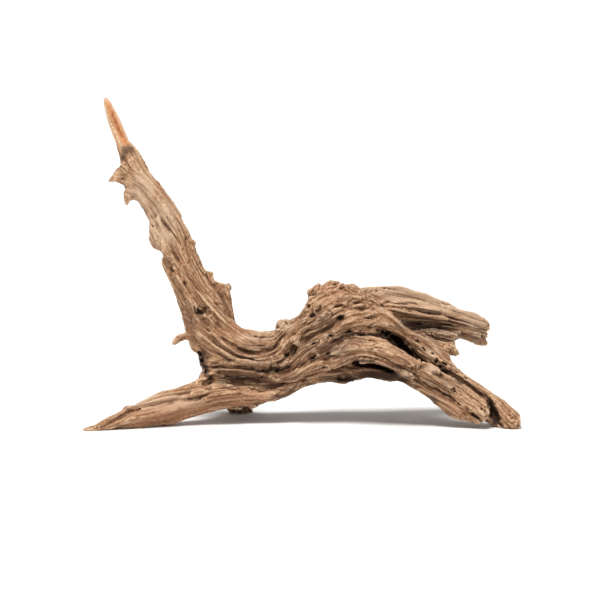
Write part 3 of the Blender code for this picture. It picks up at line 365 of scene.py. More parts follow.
def readingsOf(points):
    # where the sight lines through these points cross the reading plane: x and z
    scale = (view["readingDepth"] - eye[1]) / (points[:, 1] - eye[1])
    crossing = eye + (points - eye) * scale[:, None]
    return np.stack([crossing[:, 0] - view["readingShift"], crossing[:, 2]], axis=1), scale


def onWood(tree, line):
    # the runs of a traced line that meet the wood, as points on its surface in mm
    runs, run = [], []
    for x, z in easedLine(line, fineness["traceStep"]):
        away = Vector((onPlane(x, z) - eye).tolist()).normalized()
        hit = tree.ray_cast(Vector((eye * mm).tolist()), away)[0]
        spot = None if hit is None else np.array(hit) / mm
        if spot is None or (run and np.linalg.norm(spot - run[-1]) > fineness["depthJump"]):
            runs.append(run)
            run = []
        if spot is not None:
            run.append(spot)
    runs.append(run)
    return [np.array(r) for r in runs if len(r) > 1]


def meshArrays(data):
    count = len(data.vertices)
    points = np.empty(count * 3)
    data.vertices.foreach_get("co", points)
    normals = np.empty(count * 3)
    data.vertex_normals.foreach_get("vector", normals)
    return points.reshape(-1, 3) / mm, normals.reshape(-1, 3)


def setPoints(data, points):
    data.vertices.foreach_set("co", (points * mm).ravel())
    data.update()


def setAttribute(data, name, values):
    made = data.attributes.new(name, "FLOAT", "POINT")
    made.data.foreach_set("value", values.astype(np.float32))


def treeOf(points, data):
    # a mesh's faces made ready for rays, with its points given in mm or metres
    return BVHTree.FromPolygons(points.tolist(), [tuple(face.vertices) for face in data.polygons])


def bake(obj):
    # the object's modifiers made part of its mesh
    graph = bpy.context.evaluated_depsgraph_get()
    shaped = bpy.data.meshes.new_from_object(obj.evaluated_get(graph))
    obj.modifiers.clear()
    old, obj.data = obj.data, shaped
    bpy.data.meshes.remove(old)


def smoothStep(values, low, high):
    part = np.clip((values - low) / (high - low), 0, 1)
    return part * part * (3 - 2 * part)


def boxedBy(spots, line, margin=0.0):
    # which spots lie in the box round a line, with a margin round it
    corners = np.asarray(line, float)
    return ((spots > corners.min(axis=0) - margin) & (spots < corners.max(axis=0) + margin)).all(axis=1)


def nearestOnOutline(spots, line):
    # the nearest point of a closed line, and whether each spot lies inside it
    corners = np.asarray(line, float)
    best = np.full(len(spots), 1e9)
    found = np.zeros_like(spots)
    inside = np.zeros(len(spots), bool)
    for a, b in zip(corners, np.roll(corners, -1, axis=0)):
        side = b - a
        along = np.clip(((spots - a) @ side) / max(side @ side, 1e-9), 0, 1)
        at = a + along[:, None] * side
        gap = ((spots - at) ** 2).sum(axis=1)
        nearer = gap < best
        best[nearer] = gap[nearer]
        found[nearer] = at[nearer]
        if a[1] != b[1]:
            spans = (a[1] > spots[:, 1]) != (b[1] > spots[:, 1])
            crossing = a[0] + (spots[:, 1] - a[1]) * side[0] / side[1]
            inside ^= spans & (spots[:, 0] < crossing)
    return np.sqrt(best), found, inside


def nearestOn(spots, line):
    # distance to the nearest point of a line, and how far along it that is (0 to 1)
    best = np.full(len(spots), 1e9)
    along = np.zeros(len(spots))
    for index, point in enumerate(line):
        gap = ((spots - point) ** 2).sum(axis=1)
        nearer = gap < best
        best = np.where(nearer, gap, best)
        along = np.where(nearer, index / max(1, len(line) - 1), along)
    return np.sqrt(best), along


class Net:
    # the edges of a mesh, for averaging over neighbours
    def __init__(self, data):
        ends = np.empty(len(data.edges) * 2, np.int64)
        data.edges.foreach_get("vertices", ends)
        self.a, self.b = ends[0::2], ends[1::2]
        self.size = len(data.vertices)
        self.count = np.maximum(1, np.bincount(ends, minlength=self.size))

    def mean(self, values):
        out = np.empty_like(values)
        for axis in range(values.shape[1]):
            column = values[:, axis]
            out[:, axis] = (np.bincount(self.a, column[self.b], self.size)
                            + np.bincount(self.b, column[self.a], self.size))
        return out / self.count[:, None]

    def relaxed(self, points, passes, keep=True):
        # smooths by a step inwards, and one back out when keep is set, so that nothing shrinks
        inwards, outwards = 0.5, 0.53
        for _ in range(passes):
            points = points + inwards * (self.mean(points) - points)
            if keep:
                points = points - outwards * (self.mean(points) - points)
        return points

    def hollowAt(self, points, normals, passes):
        # how far the wood round each spot stands out past it, in mm
        return ((self.relaxed(points, passes, keep=False) - points) * normals).sum(axis=1)


def latticeCell(scaled):
    # the lattice cell that each spot lies in, and how far across it the spot is, plain and eased
    low = np.floor(scaled).astype(np.int32)
    part = (scaled - low).astype(np.float32)
    ease = part * part * (3 - 2 * part)
    return low, part, ease


class Grain:
    # smooth repeating noise, values about -1 to 1
    def __init__(self, seed, size=64):
        self.size = size
        self.table = np.random.default_rng(seed).normal(0, 1, size**3).astype(np.float32)

    def at(self, points, cell):
        low, _, ease = latticeCell(points / cell)
        low &= self.size - 1
        high = (low + 1) & (self.size - 1)
        rows = [side[:, 0] * self.size**2 for side in (low, high)]
        columns = [side[:, 1] * self.size for side in (low, high)]
        layers = [low[:, 2], high[:, 2]]
        near = [[1 - ease[:, axis], ease[:, axis]] for axis in range(3)]
        total = np.zeros(len(points), np.float32)
        for i in (0, 1):
            for j in (0, 1):
                place = rows[i] + columns[j]
                lower = self.table[place + layers[0]]
                upper = self.table[place + layers[1]]
                total += near[0][i] * near[1][j] * (lower * near[2][0] + upper * near[2][1])
        return total


class Flow:
    # the run of the grain, held on a coarse grid round the surface; each guide is a line with
    # its softness in mm and its strength
    def __init__(self, surface, guides, cell=4.0, margin=3, batch=1500):
        self.cell = cell
        self.low = surface.min(axis=0) - (margin + 2) * cell
        shape = np.ceil((surface.max(axis=0) - self.low) / cell).astype(int) + margin + 3
        near = np.zeros(shape, bool)
        at = np.floor((surface - self.low) / cell).astype(int)
        near[at[:, 0], at[:, 1], at[:, 2]] = True
        for _ in range(margin):
            grown = near.copy()
            for axis in range(3):
                grown |= np.roll(near, 1, axis) | np.roll(near, -1, axis)
            near = grown
        cells = np.argwhere(near)
        centres = self.low + (cells + 0.5) * cell
        starts = np.vstack([line[:-1] for line, _, _ in guides])
        steps = np.vstack([np.diff(line, axis=0) for line, _, _ in guides])
        lengths = np.linalg.norm(steps, axis=1)
        tangents = steps / lengths[:, None]
        middles = starts + steps / 2
        soft = np.concatenate([np.full(len(line) - 1, s) for line, s, _ in guides])
        strength = np.concatenate([np.full(len(line) - 1, w) for line, _, w in guides]) * lengths
        outer = np.einsum("si,sj->sij", tangents, tangents).reshape(-1, 9)
        found = np.zeros((len(cells), 3))
        for first in range(0, len(cells), batch):
            part = centres[first : first + batch]
            gaps = ((part[:, None, :] - middles[None]) ** 2).sum(axis=2)
            weights = strength / (gaps + soft**2) ** 2
            tensors = (weights @ outer).reshape(-1, 3, 3)
            found[first : first + batch] = np.linalg.eigh(tensors)[1][:, :, 2]
        grid = np.zeros((*shape, 3), np.float32)
        grid[cells[:, 0], cells[:, 1], cells[:, 2]] = found
        self.grid = grid.reshape(-1, 3)
        self.shape = np.array(shape)
        self.strides = np.array([shape[1] * shape[2], shape[2], 1])

    def at(self, points, heading=None):
        scaled = (points - self.low) / self.cell - 0.5
        low, part, _ = latticeCell(scaled)
        low = np.clip(low, 0, self.shape - 2)
        if heading is None:
            nearest = np.clip(np.round(scaled).astype(np.int32), 0, self.shape - 1)
            heading = self.grid[nearest @ self.strides]
        base = low @ self.strides
        total = np.zeros((len(points), 3), np.float32)
        for corner in range(8):
            side = [(corner >> axis) & 1 for axis in range(3)]
            weight = np.prod([part[:, a] if side[a] else 1 - part[:, a] for a in range(3)], axis=0)
            run = self.grid[base + int(np.dot(side, self.strides))]
            weight = np.where(np.einsum("ij,ij->i", run, heading) < 0, -weight, weight)
            total += weight[:, None] * run
        length = np.sqrt(np.einsum("ij,ij->i", total, total))
        lost = length < 1e-6
        total[lost] = heading[lost]
        length[lost] = 1
        return total / length[:, None]


def fibre(points, flow, grain, cell, reach, spacing=0.8):
    # noise drawn out along the grain: fine across it, long along it, read once in each spacing of a cell
    step = spacing * cell
    count = max(2, int(reach / step))
    points = points.astype(np.float32)
    total = grain.at(points, cell)
    for sense in (1.0, -1.0):
        heading = flow.at(points) * sense
        spot = points.copy()
        for number in range(1, count + 1):
            heading = flow.at(spot, heading)
            spot = spot + heading * step
            total += grain.at(spot, cell) * (1 - number / (count + 1))
    return (total - total.mean()) / total.std()


def patchesAt(readings, patches, full=0.5, end=1.15):
    # soft round patches, full near the middle and gone a little past their half size
    value = np.zeros(len(readings))
    for x, z, halfX, halfZ in patches:
        gap = np.hypot((readings[:, 0] - x) / halfX, (readings[:, 1] - z) / halfZ)
        value = np.maximum(value, 1 - smoothStep(gap, full, end))
    return value


def remesh(obj, cell, smoothing):
    skin = obj.modifiers.new("skin", "REMESH")
    skin.mode = "VOXEL"
    skin.voxel_size = cell * mm
    bake(obj)
    points, _ = meshArrays(obj.data)
    setPoints(obj.data, Net(obj.data).relaxed(points, smoothing))


# How far a blade's rim is rounded, as a share of its thickness
bladeRim = {"share": 0.38, "segments": 3}


def addBlades(shell):
    # small plates with rounded rims, sunk into the wood where they grow
    for depth, lean, thick, line in blades.values():
        start = line[0][0]
        corners = [readingAtDepth(x, z, depth + lean * (x - start) - thick / 2) * mm for x, z in line]
        face = shell.faces.new([shell.verts.new(corner) for corner in corners])
        made = bmesh.ops.extrude_face_region(shell, geom=[face])
        moved = [v for v in made["geom"] if isinstance(v, bmesh.types.BMVert)]
        bmesh.ops.translate(shell, verts=moved, vec=(0, thick * mm, 0))
        faces = [f for f in made["geom"] if isinstance(f, bmesh.types.BMFace)] + [face]
        rim = {e for f in faces for e in f.edges}
        sides = {f for e in rim for f in e.link_faces}
        bmesh.ops.recalc_face_normals(shell, faces=list(sides))
        bmesh.ops.bevel(shell, geom=list(rim), offset=bladeRim["share"] * thick * mm,
                        segments=bladeRim["segments"], profile=0.5, affect="EDGES", material=-1,
                        clamp_overlap=True)
    print("blades", len(blades))


def startWood():
    # a copy of the node's own mesh with the blades joined to it, and the bare wood for sight lines
    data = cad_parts["driftwood"].data.copy()
    data.materials.clear()
    shell = bmesh.new()
    shell.from_mesh(data)
    bmesh.ops.remove_doubles(shell, verts=shell.verts, dist=1e-6)
    tree = BVHTree.FromBMesh(shell)
    addBlades(shell)
    shell.to_mesh(data)
    shell.free()
    wood = bpy.data.objects.new("weathered_wood", data)
    bpy.context.scene.collection.objects.link(wood)
    return wood, tree


# How the wood is pulled to the outline, in mm
pull = {
    "outside": 9.0,  # how far out a point is still pulled in
    "inside": 5.0,
    "sideways": (0.8, 0.96),  # how squarely a point inside has to face sideways, from none to all
    "behind": 40,  # the hidden back root, behind this and below the next, is left alone
    "below": 36,
    "foot": 3,
}

# The spike's taper from front to back: heights and middle depth in mm, and the share left at the tip
taper = {"from": 303.0, "to": 347.0, "middle": 27.4, "least": 0.4}


def bringToOutline(points, normals):
    readings, scale = readingsOf(points)
    gap, target, inside = nearestOnOutline(readings, outline)
    side = np.hypot(normals[:, 0], normals[:, 2])
    away = target - readings
    outward = (away[:, 0] * normals[:, 0] + away[:, 1] * normals[:, 2]) > 0
    weight = np.where(inside, smoothStep(side, *pull["sideways"]) * outward * (gap < pull["inside"]),
                      1.0 * (gap < pull["outside"]))
    hidden = (points[:, 1] > pull["behind"]) & (points[:, 2] < pull["below"])
    weight[hidden | (points[:, 2] < pull["foot"])] = 0
    move = away * weight[:, None] / scale[:, None]
    out = points.copy()
    out[:, 0] += move[:, 0]
    out[:, 2] += move[:, 1]
    return out


def shapeSkin(wood):
    # one skin over the wood and its blades, brought to the outline and thinned at the spike
    remesh(wood, fineness["firstCell"], fineness["firstSmoothing"])
    points = bringToOutline(*meshArrays(wood.data))
    share = 1 - (1 - taper["least"]) * smoothStep(points[:, 2], taper["from"], taper["to"])
    points[:, 1] = taper["middle"] + (points[:, 1] - taper["middle"]) * share
    setPoints(wood.data, points)
    print("first skin", len(points))


# What leads the grain: traced lines and limbs, each with its softness in mm and its strength
guiding = {
    "traced": (6.0, 1.0),
    "limbs": (22.0, 1.2),
    "least": 24.0,  # the shortest traced line that is used, in mm
    "every": 3,  # one in so many of its points is used
}


def traceLines(tree):
    # furrows and crests as runs on the wood's surface, the limbs' middle lines, and what leads the grain
    traced = [(half, -depth, run) for half, depth, line in furrows for run in onWood(tree, line)]
    traced += [(half, height, run) for half, height, line in crests for run in onWood(tree, line)]
    steps = guiding["least"] / fineness["traceStep"]
    guides = [(run[:: guiding["every"]], *guiding["traced"]) for _, _, run in traced if len(run) > steps]
    middles = {name: easedLine([readingAtDepth(*spot) for spot in line], fineness["limbStep"])
               for name, line in limbLines.items()}
    guides += [(line, *guiding["limbs"]) for line in middles.values()]
    print("traced runs", len(traced), "guides", len(guides))
    return traced, middles, guides


# The grain's own relief: cell and length of a strand, its swell, crest and crease in mm, and how wide
# the crease is in the strand's noise
strands = {
    "wide": {"seed": 3, "cell": 5.2, "length": 95,
             "swell": 0.7, "crest": 0.4, "crease": 1.8, "width": 0.2},
    "medium": {"seed": 4, "cell": 3.0, "length": 56,
               "swell": 0.3, "crest": 0.8, "crease": 1.3, "width": 0.26},
    "fine": {"seed": 5, "cell": 1.8, "length": 34,
             "swell": 0.45, "crest": 0.0, "crease": 0.0, "width": 0.3},
}

# What every strand shares
strandForm = {
    "crestAt": 0.9,  # the crest and the crease lie where the strand's noise has these values
    "creaseAt": -0.2,
    "crestHalf": 0.6,
    "crestPower": 1.5,
    "patches": {"wide": (8, 28), "narrow": (7, 16)},  # seed and size in mm of the creases' patches
    "patchMiddle": 0.55,
    "patchSpread": 0.6,
    "patchMost": 1.3,
    "limbBlend": 60,  # how softly one limb's relief gives way to the next, in square mm
}


def reliefAt(points, middles):
    # how deep the grain is cut here, from the nearest limbs
    total = np.zeros(len(points))
    weights = np.zeros(len(points))
    for name, line in middles.items():
        gap, _ = nearestOn(points, line)
        weight = 1 / (gap**2 + strandForm["limbBlend"]) ** 2
        total += weight * limbRelief[name]
        weights += weight
    return total / weights


def creasePatches(points, name):
    # how strong the creases are here
    seed, cell = strandForm["patches"][name]
    return np.clip(strandForm["patchMiddle"] + strandForm["patchSpread"] * Grain(seed).at(points, cell),
                   0, strandForm["patchMost"])


def strandLift(values, shape, patches):
    # rounded swells with sharp crests and narrow creases, both running along the grain
    lift = shape["swell"] * np.tanh(values)
    crest = np.clip(1 - np.abs(values - strandForm["crestAt"]) / strandForm["crestHalf"], 0, 1)
    lift += shape["crest"] * crest ** strandForm["crestPower"]
    crease = np.exp(-(((values - strandForm["creaseAt"]) / shape["width"]) ** 2))
    return lift - shape["crease"] * patches * crease


# How a traced line is cut
tracing = {
    "gain": 1.3,
    "reach": 2.6,  # in half widths
    "taper": 5,  # one over the share of its length that an end takes
    "leastEnd": 0.25,
}


def stroke(points, lift, run, halfWidth, height, ends):
    # adds one furrow or crest to lift, with a soft profile and pointed ends
    near = np.flatnonzero(boxedBy(points, run, tracing["reach"] * halfWidth))
    if not len(near):
        return
    gap, along = nearestOn(points[near], run)
    share = np.clip(ends * np.minimum(along, 1 - along), tracing["leastEnd"], 1)
    lift[near] += height * np.exp(-((gap / halfWidth) ** 2)) * share


def raiseSlabs(points, normals, lift):
    readings, _ = readingsOf(points)
    front = ((points - eye) * normals).sum(axis=1) < 0
    for height, edge, line in slabs.values():
        near = np.flatnonzero(boxedBy(readings, line) & front)
        gap, _, inside = nearestOnOutline(readings[near], line)
        lift[near] += height * smoothStep(gap, 0, edge) * inside


# How a pit is opened, in mm
pitForm = {
    "seed": 10,
    "cell": 4.0,
    "facing": 0.3,  # how far a point may face away
    "behind": 4,  # how far a point may lie behind the first wood in sight
    "leastWall": 5.0,
}


def openPits(points, normals, tree):
    # sunk along the sight lines, as deep as the wood behind allows
    readings, _ = readingsOf(points)
    sight = points - eye
    distance = np.linalg.norm(sight, axis=1)
    sight /= distance[:, None]
    facing = (sight * normals).sum(axis=1) < pitForm["facing"]
    unevenness = Grain(pitForm["seed"]).at(points, pitForm["cell"])
    out = points.copy()
    for deep, edge, uneven, line in pits.values():
        near = np.flatnonzero(boxedBy(readings, line) & facing)
        gap, _, inside = nearestOnOutline(readings[near], line)
        near = near[inside]
        gap = gap[inside] + uneven * unevenness[near]
        for index, share in zip(near, smoothStep(gap, 0, edge)):
            away = Vector(sight[index].tolist())
            hit = tree.ray_cast(Vector((eye * mm).tolist()), away)
            if hit[3] is None or abs(hit[3] / mm - distance[index]) > pitForm["behind"]:
                continue
            behind = tree.ray_cast(hit[0] + away * mm, away)[3]
            room = deep if behind is None else min(deep, behind / mm - pitForm["leastWall"])
            out[index] += sight[index] * max(0.0, room) * share
    return out


def carveForms(wood, flow, traced, middles):
    # the wide strands, the traced furrows and crests, the slabs and the pits
    points, normals = meshArrays(wood.data)
    relief = reliefAt(points, middles)
    patches = creasePatches(points, "wide")
    shape = strands["wide"]
    values = fibre(points, flow, Grain(shape["seed"]), shape["cell"], shape["length"])
    lift = strandLift(values, shape, patches) * relief
    for half, height, run in traced:
        stroke(points, lift, run, half, tracing["gain"] * height, tracing["taper"])
    raiseSlabs(points, normals, lift)
    points = openPits(points, normals, treeOf(points * mm, wood.data))
    setPoints(wood.data, points + lift[:, None] * normals)
    remesh(wood, fineness["secondCell"], fineness["secondSmoothing"])
    print("second skin", len(wood.data.vertices))


# How a hole is pressed in, in mm
holeForm = {
    "seed": 9,
    "cell": 3.0,
    "uneven": 0.22,
    "aim": 0.6,  # half the short line that finds the wood there
    "reach": 4,  # in radii, with the margin added
    "margin": 3,
    "gain": 1.2,
    "stretch": 1.9,  # how much longer it is along the grain
    "leastRun": 0.2,  # grain that runs into the wood is read as no steeper than this
}


def openHoles(points, tree, flow):
    # small holes pressed in along the sight line, a little longer along the grain
    readings, _ = readingsOf(points)
    unevenness = Grain(holeForm["seed"]).at(points, holeForm["cell"])
    out = points.copy()
    for x, z, radius, depth in holes:
        for run in onWood(tree, [(x - holeForm["aim"], z), (x + holeForm["aim"], z)]):
            spot = run.mean(axis=0)
            sight = (spot - eye) / np.linalg.norm(spot - eye)
            reach = holeForm["reach"] * radius + holeForm["margin"]
            near = np.flatnonzero(((points - spot) ** 2).sum(axis=1) < reach**2)
            grain = flow.at(points[near])
            flat = np.maximum(holeForm["leastRun"], np.hypot(grain[:, 0], grain[:, 2]))
            grain = grain[:, [0, 2]] / flat[:, None]
            away = readings[near] - (x, z)
            along = (away * grain).sum(axis=1)
            across = np.sqrt(np.maximum(0, (away**2).sum(axis=1) - along**2))
            gap = np.hypot(across, along / holeForm["stretch"])
            gap *= 1 + holeForm["uneven"] * unevenness[near]
            share = np.exp(-((gap / radius) ** 4))
            out[near] += (holeForm["gain"] * depth * share)[:, None] * sight
    return out


# The lumps of the rough spots: sizes and heights in mm, and where in their noise the ridges lie
roughness = {"seed": 21, "cells": (7.0, 3.6), "heights": (1.5, 0.6), "ridge": 0.5, "shift": 0.35}

# How creases are sharpened: the passes of smoothing that find them, the share, and its limits in mm
sharpening = {"passes": 6, "share": 1.05, "limits": (-0.6, 0.8)}


def carveSurface(wood, tree, flow, middles):
    # the holes, the narrow strands and the rough spots, with every crease made crisp at the end
    points, _ = meshArrays(wood.data)
    setPoints(wood.data, openHoles(points, tree, flow))
    points, normals = meshArrays(wood.data)
    relief = reliefAt(points, middles)
    patches = creasePatches(points, "narrow")
    lift = np.zeros(len(points))
    for name in ("medium", "fine"):
        shape = strands[name]
        values = fibre(points, flow, Grain(shape["seed"]), shape["cell"], shape["length"])
        lift += strandLift(values, shape, patches) * relief
        setAttribute(wood.data, name, values)
    knobbly = patchesAt(readingsOf(points)[0], roughSpots)
    for seed, (cell, height) in enumerate(zip(roughness["cells"], roughness["heights"]), roughness["seed"]):
        bumps = np.abs(Grain(seed).at(points, cell) + roughness["shift"])
        lift += height * knobbly * (roughness["ridge"] - bumps)
    points = points + lift[:, None] * normals
    setPoints(wood.data, points)
    normals = meshArrays(wood.data)[1]
    hollow = Net(wood.data).hollowAt(points, normals, sharpening["passes"])
    points -= sharpening["share"] * np.clip(hollow, *sharpening["limits"])[:, None] * normals
    setPoints(wood.data, points)


def dropCrumbs(data):
    # loose crumbs that the remesh leaves are taken out, and only the largest body of faces stays
    shape = bmesh.new()
    shape.from_mesh(data)
    left = set(shape.verts)
    bodies = []
    while left:
        front = [left.pop()]
        body = list(front)
        while front:
            vert = front.pop()
            for edge in vert.link_edges:
                other = edge.other_vert(vert)
                if other in left:
                    left.remove(other)
                    front.append(other)
                    body.append(other)
        bodies.append(body)
    bodies.sort(key=len)
    crumbs = [vert for body in bodies[:-1] for vert in body]
    bmesh.ops.delete(shape, geom=crumbs, context="VERTS")
    shape.to_mesh(data)
    shape.free()
    print("crumbs taken out", len(bodies) - 1)


def thinOut(wood):
    # fewer faces where the wood is plain, kept inside the box of the CAD part
    fewer = wood.modifiers.new("fewer faces", "DECIMATE")
    triangles = sum(len(face.vertices) - 2 for face in wood.data.polygons)
    fewer.ratio = min(1.0, fineness["keptTriangles"] / triangles)
    fewer.use_collapse_triangulate = True
    bake(wood)
    dropCrumbs(wood.data)
    wood.data.shade_smooth()
    low, high = (np.array(corner) / mm for corner in cadBox)
    setPoints(wood.data, np.clip(meshArrays(wood.data)[0], low, high))
    print("kept triangles", len(wood.data.polygons), "from", triangles)


# How far the wood round a spot shades it, which is painted into the colour as shade
shelter = {
    "rays": 14,
    "seed": 12,
    "reach": 70.0,  # how far the rays look, in mm
    "start": 0.5,  # how far off the surface they start, in mm
    "fade": 0.7,  # how much less the farthest wood shades than the nearest
    "across": (0.3, 0.9, 0.31),  # any direction that the surface nowhere faces exactly
    "passes": 2,
}


def shelterAt(points, normals, data):
    # the share of the half sphere round each spot that the wood itself closes off
    tree = treeOf(points, data)
    count = shelter["rays"]
    steps = np.arange(count) + 0.5
    rise = np.sqrt(1 - steps / count)
    turn = steps * math.pi * (3 - math.sqrt(5))
    spin = np.random.default_rng(shelter["seed"]).uniform(0, 2 * math.pi, len(points))
    side = np.cross(normals, shelter["across"])
    side /= np.linalg.norm(side, axis=1)[:, None]
    other = np.cross(normals, side)
    closed = np.zeros(len(points))
    starts = [Vector(row) for row in (points + shelter["start"] * normals).tolist()]
    for up, angle in zip(rise, turn):
        flat = math.sqrt(1 - up * up)
        away = (normals * up + side * (flat * np.cos(angle + spin))[:, None]
                + other * (flat * np.sin(angle + spin))[:, None])
        for index, row in enumerate(away.tolist()):
            far = tree.ray_cast(starts[index], row, shelter["reach"])[3]
            if far is not None:
                closed[index] += 1 - shelter["fade"] * far / shelter["reach"]
    return closed / count


# Where the wood's colour changes, and where light and shade are painted on: middle and half size of each
# soft patch, read on the plane
tones = {
    # paler wood, and painted light on the upward faces of the branch and root, the lit worm face and the
    # slabs' chopped ends
    "pale": [(110, 143, 50, 9), (150, 132, 40, 9), (160, 122, 30, 7), (186, 110, 20, 12),
        (-17, 104, 12, 7), (-168, 248, 16, 24), (-147, 212, 20, 30), (122, 133, 34, 9), (142, 74, 9, 7),
        (115, 52.5, 9, 4), (143, 56, 9, 6), (-45, 92, 26, 6), (-150, 20, 50, 10)],
    "ruddy": [(34, 144, 26, 9), (60, 56, 18, 7), (158, 14, 24, 12), (-150, 10, 66, 18), (222, 8, 18, 12),
        (112, 68, 18, 12), (92, 126, 10, 5), (-60, 24, 40, 12), (-66, 98, 30, 6)],
    # the grey knots' own colour, and painted shade in the hollow under the branch
    "greyAndShade": [(26, 109, 13, 10), (27, 111, 8, 7), (150, 92, 30, 9), (192, 94, 12, 10), (28, 78, 30, 10),
        (112, 104, 12, 5)],
    "shaded": [(-48, 74, 36, 15), (30, 98, 30, 16), (-66, 46, 34, 12), (10, 74, 26, 12),
        (-112, 110, 18, 22), (60, 52, 30, 8), (94, 56, 18, 10), (-20, 48, 30, 14), (150, 36, 26, 16),
        (-62, 12, 16, 6), (24, 108, 26, 14), (16, 90, 22, 10), (138, 100, 28, 7), (-26, 60, 30, 10),
        (52, 92, 22, 12), (-28, 40, 30, 8)],
    # painted shadow: near-black patches in the cave, under the lip, just after the slabs' chopped ends, on
    # the neck's turned-away flank and in the leg's end slot
    "paintedShadow": [(-183, 291, 8, 6), (68, 65.5, 16, 2.5), (52, 45, 16, 4), (-105, 65, 7, 14),
        (-101, 56, 5, 9), (130, 58.5, 4, 2), (126, 45.5, 4, 2), (151.5, 49, 3, 2), (209, 6, 6, 14),
        (-188, 284, 4, 4), (-188, 17, 3, 2.5), (80, 50, 16, 6), (96, 49.5, 12, 6.5), (109, 43.5, 8, 5),
        (46, 45, 14, 3.5)],
    # painted shade: very dark patches along the underside, under the branch and in recesses under ridges
    "recessShade": [(30, 46, 12, 4.5), (50, 48, 14, 5), (74, 50, 14, 5.5), (95, 50.5, 14, 6), (110, 46, 10, 4),
        (-62, 12, 14, 6), (-40, 18.5, 12, 3.5), (-22, 26, 12, 3.5), (-4, 32.5, 11, 3.5), (12, 39, 10, 3.5),
        (140, 22, 9, 7), (156, 5, 8, 7), (140, 100, 20, 4), (-66, 47, 18, 3.5), (-84, 44, 6, 4)],
    "streaked": [(-199, 328, 2.2, 6), (-196, 320, 2.4, 6), (-193, 314, 2.4, 5), (-190, 308, 2.4, 4)],
}

# The bare spike: the heights between which the wood turns bare, and the x that it stays left of
peel = {"start": 287.0, "full": 299.0, "edge": -176.0}

# The painted shade line in a furrow: half width and taper, and the depth of furrow that gets it in full, in
# mm
furrowShadeLine = {"width": 1.1, "taper": 6, "fullDepth": 2.4}

# The passes of smoothing that find the hollows and crests for the painted shade in the hollows and the
# painted highlight on the crests
hollowPasses = 4


def markWood(wood, traced):
    # the values over the surface that the material reads
    points, normals = meshArrays(wood.data)
    net = Net(wood.data)
    hollow = net.hollowAt(points, normals, hollowPasses)
    # how closed off each spot is, for painted shade in the colour
    closed = shelterAt(points, normals, wood.data)[:, None]
    shelterShade = net.relaxed(closed, shelter["passes"], keep=False)[:, 0]
    # painted shade along the furrows, darker where they are deeper
    furrowShade = np.zeros(len(points))
    for _, height, run in traced:
        if height < 0:
            dark = min(1.0, -height / furrowShadeLine["fullDepth"])
            stroke(points, furrowShade, run, furrowShadeLine["width"], dark, furrowShadeLine["taper"])
    # read by the material for painted shade in creases and painted highlight on crests
    setAttribute(wood.data, "hollow", hollow)
    setAttribute(wood.data, "shelterShade", shelterShade)
    setAttribute(wood.data, "furrowShade", np.minimum(furrowShade, 1))
    readings, _ = readingsOf(points)
    for name, patches in tones.items():
        setAttribute(wood.data, name, patchesAt(readings, patches))
    bare = smoothStep(readings[:, 1], peel["start"], peel["full"]) * (readings[:, 0] < peel["edge"])
    setAttribute(wood.data, "peeled", bare)
    print("hollow", np.percentile(hollow, (2, 25, 50, 75, 98)).round(2),
          "shelterShade", np.percentile(shelterShade, (2, 25, 50, 75, 98)).round(2))


def makeWood():
    wood, tree = startWood()
    traced, middles, guides = traceLines(tree)
    shapeSkin(wood)
    flow = Flow(meshArrays(wood.data)[0], guides)
    carveForms(wood, flow, traced, middles)
    carveSurface(wood, tree, flow, middles)
    thinOut(wood)
    markWood(wood, traced)
    return wood


# The finish: colours in linear light, and the roughness of the smoothest and the roughest wood
finish = {
    # painted shade colour for the deepest hollows, sheltered spots and painted shadows
    "deep": (0.038, 0.016, 0.008, 1),
    # the grain's dark colour, also the painted shade in creases and furrows
    "dark": (0.125, 0.051, 0.021, 1),
    "mid": (0.375, 0.187, 0.088, 1),
    "light": (0.610, 0.398, 0.230, 1),
    # painted highlight colour for the crests
    "edge": (0.770, 0.545, 0.360, 1),
    # the paler wood's colour, also laid as painted light on upward and lit faces
    "pale": (0.650, 0.455, 0.305, 1),
    "ruddy": (0.400, 0.185, 0.095, 1),
    # greyish brown of the knots, also laid as painted shade under the branch
    "greyAndShade": (0.165, 0.110, 0.072, 1),
    "shaded": (0.165, 0.074, 0.032, 1),
    # painted shade colour for the undersides and recesses
    "recessShade": (0.030, 0.014, 0.006, 1),
    "peeled": (0.620, 0.270, 0.105, 1),
    "streaked": (0.330, 0.095, 0.032, 1),
    "cream": (0.800, 0.620, 0.400, 1),
    "roughness": (0.72, 0.92),
}

# How strongly each effect shows
look = {
    "attributes": ("medium", "fine", "hollow", "furrowShade", "shelterShade", "paintedShadow"),
    "noises": {  # scale, detail and roughness
        "broad": (28, 3, 0.55),
        "speckle": (420, 3, 0.65),
        "pores": (1300, 2, 0.6),
    },
    "lines": {"fine": 9.0, "speckle": 5.0, "medium": 4.0},
    "tone": {  # a value's lowest and highest, and the tone that each gives
        "medium": (-2.2, 2.2, 0.0, 0.42),
        "fine": (-2.2, 2.2, -0.05, 0.35),
        "broad": (0.3, 0.7, 0.03, 0.25),
        "speckle": (0.3, 0.7, -0.14, 0.14),
        "lines": (-1.0, 1.0, -0.15, 0.15),
    },
    "darkToMid": (0.18, 0.52),  # the tones where the dark colour gives way to the middle one
    "rough": (0.2, 0.9),  # the tones of the roughest and the smoothest wood
    # the tints include painted light on lit faces and painted shade in darker and recessed patches
    "tints": {"pale": 0.65, "ruddy": 0.4, "greyAndShade": 0.6, "shaded": 0.68, "recessShade": 0.9},
    "tintShare": 0.65,
    "tintGain": 1.5,
    "bare": (-0.9, 0.9),  # where the bare spike turns from cream to orange
    "bareSpeckle": (0.52, 0.66, 0.5, "streaked"),
    "bareStreak": 0.8,
    "bumpStrength": 0.55,
    "bumpDistance": 0.0005,
    "bump": {
        "lines": (-1.0, 1.0, 0.0, 0.5),
        "pores": (0.3, 0.7, 0.0, 0.6),
        "speckle": (0.3, 0.7, 0.0, 0.8),
    },
}

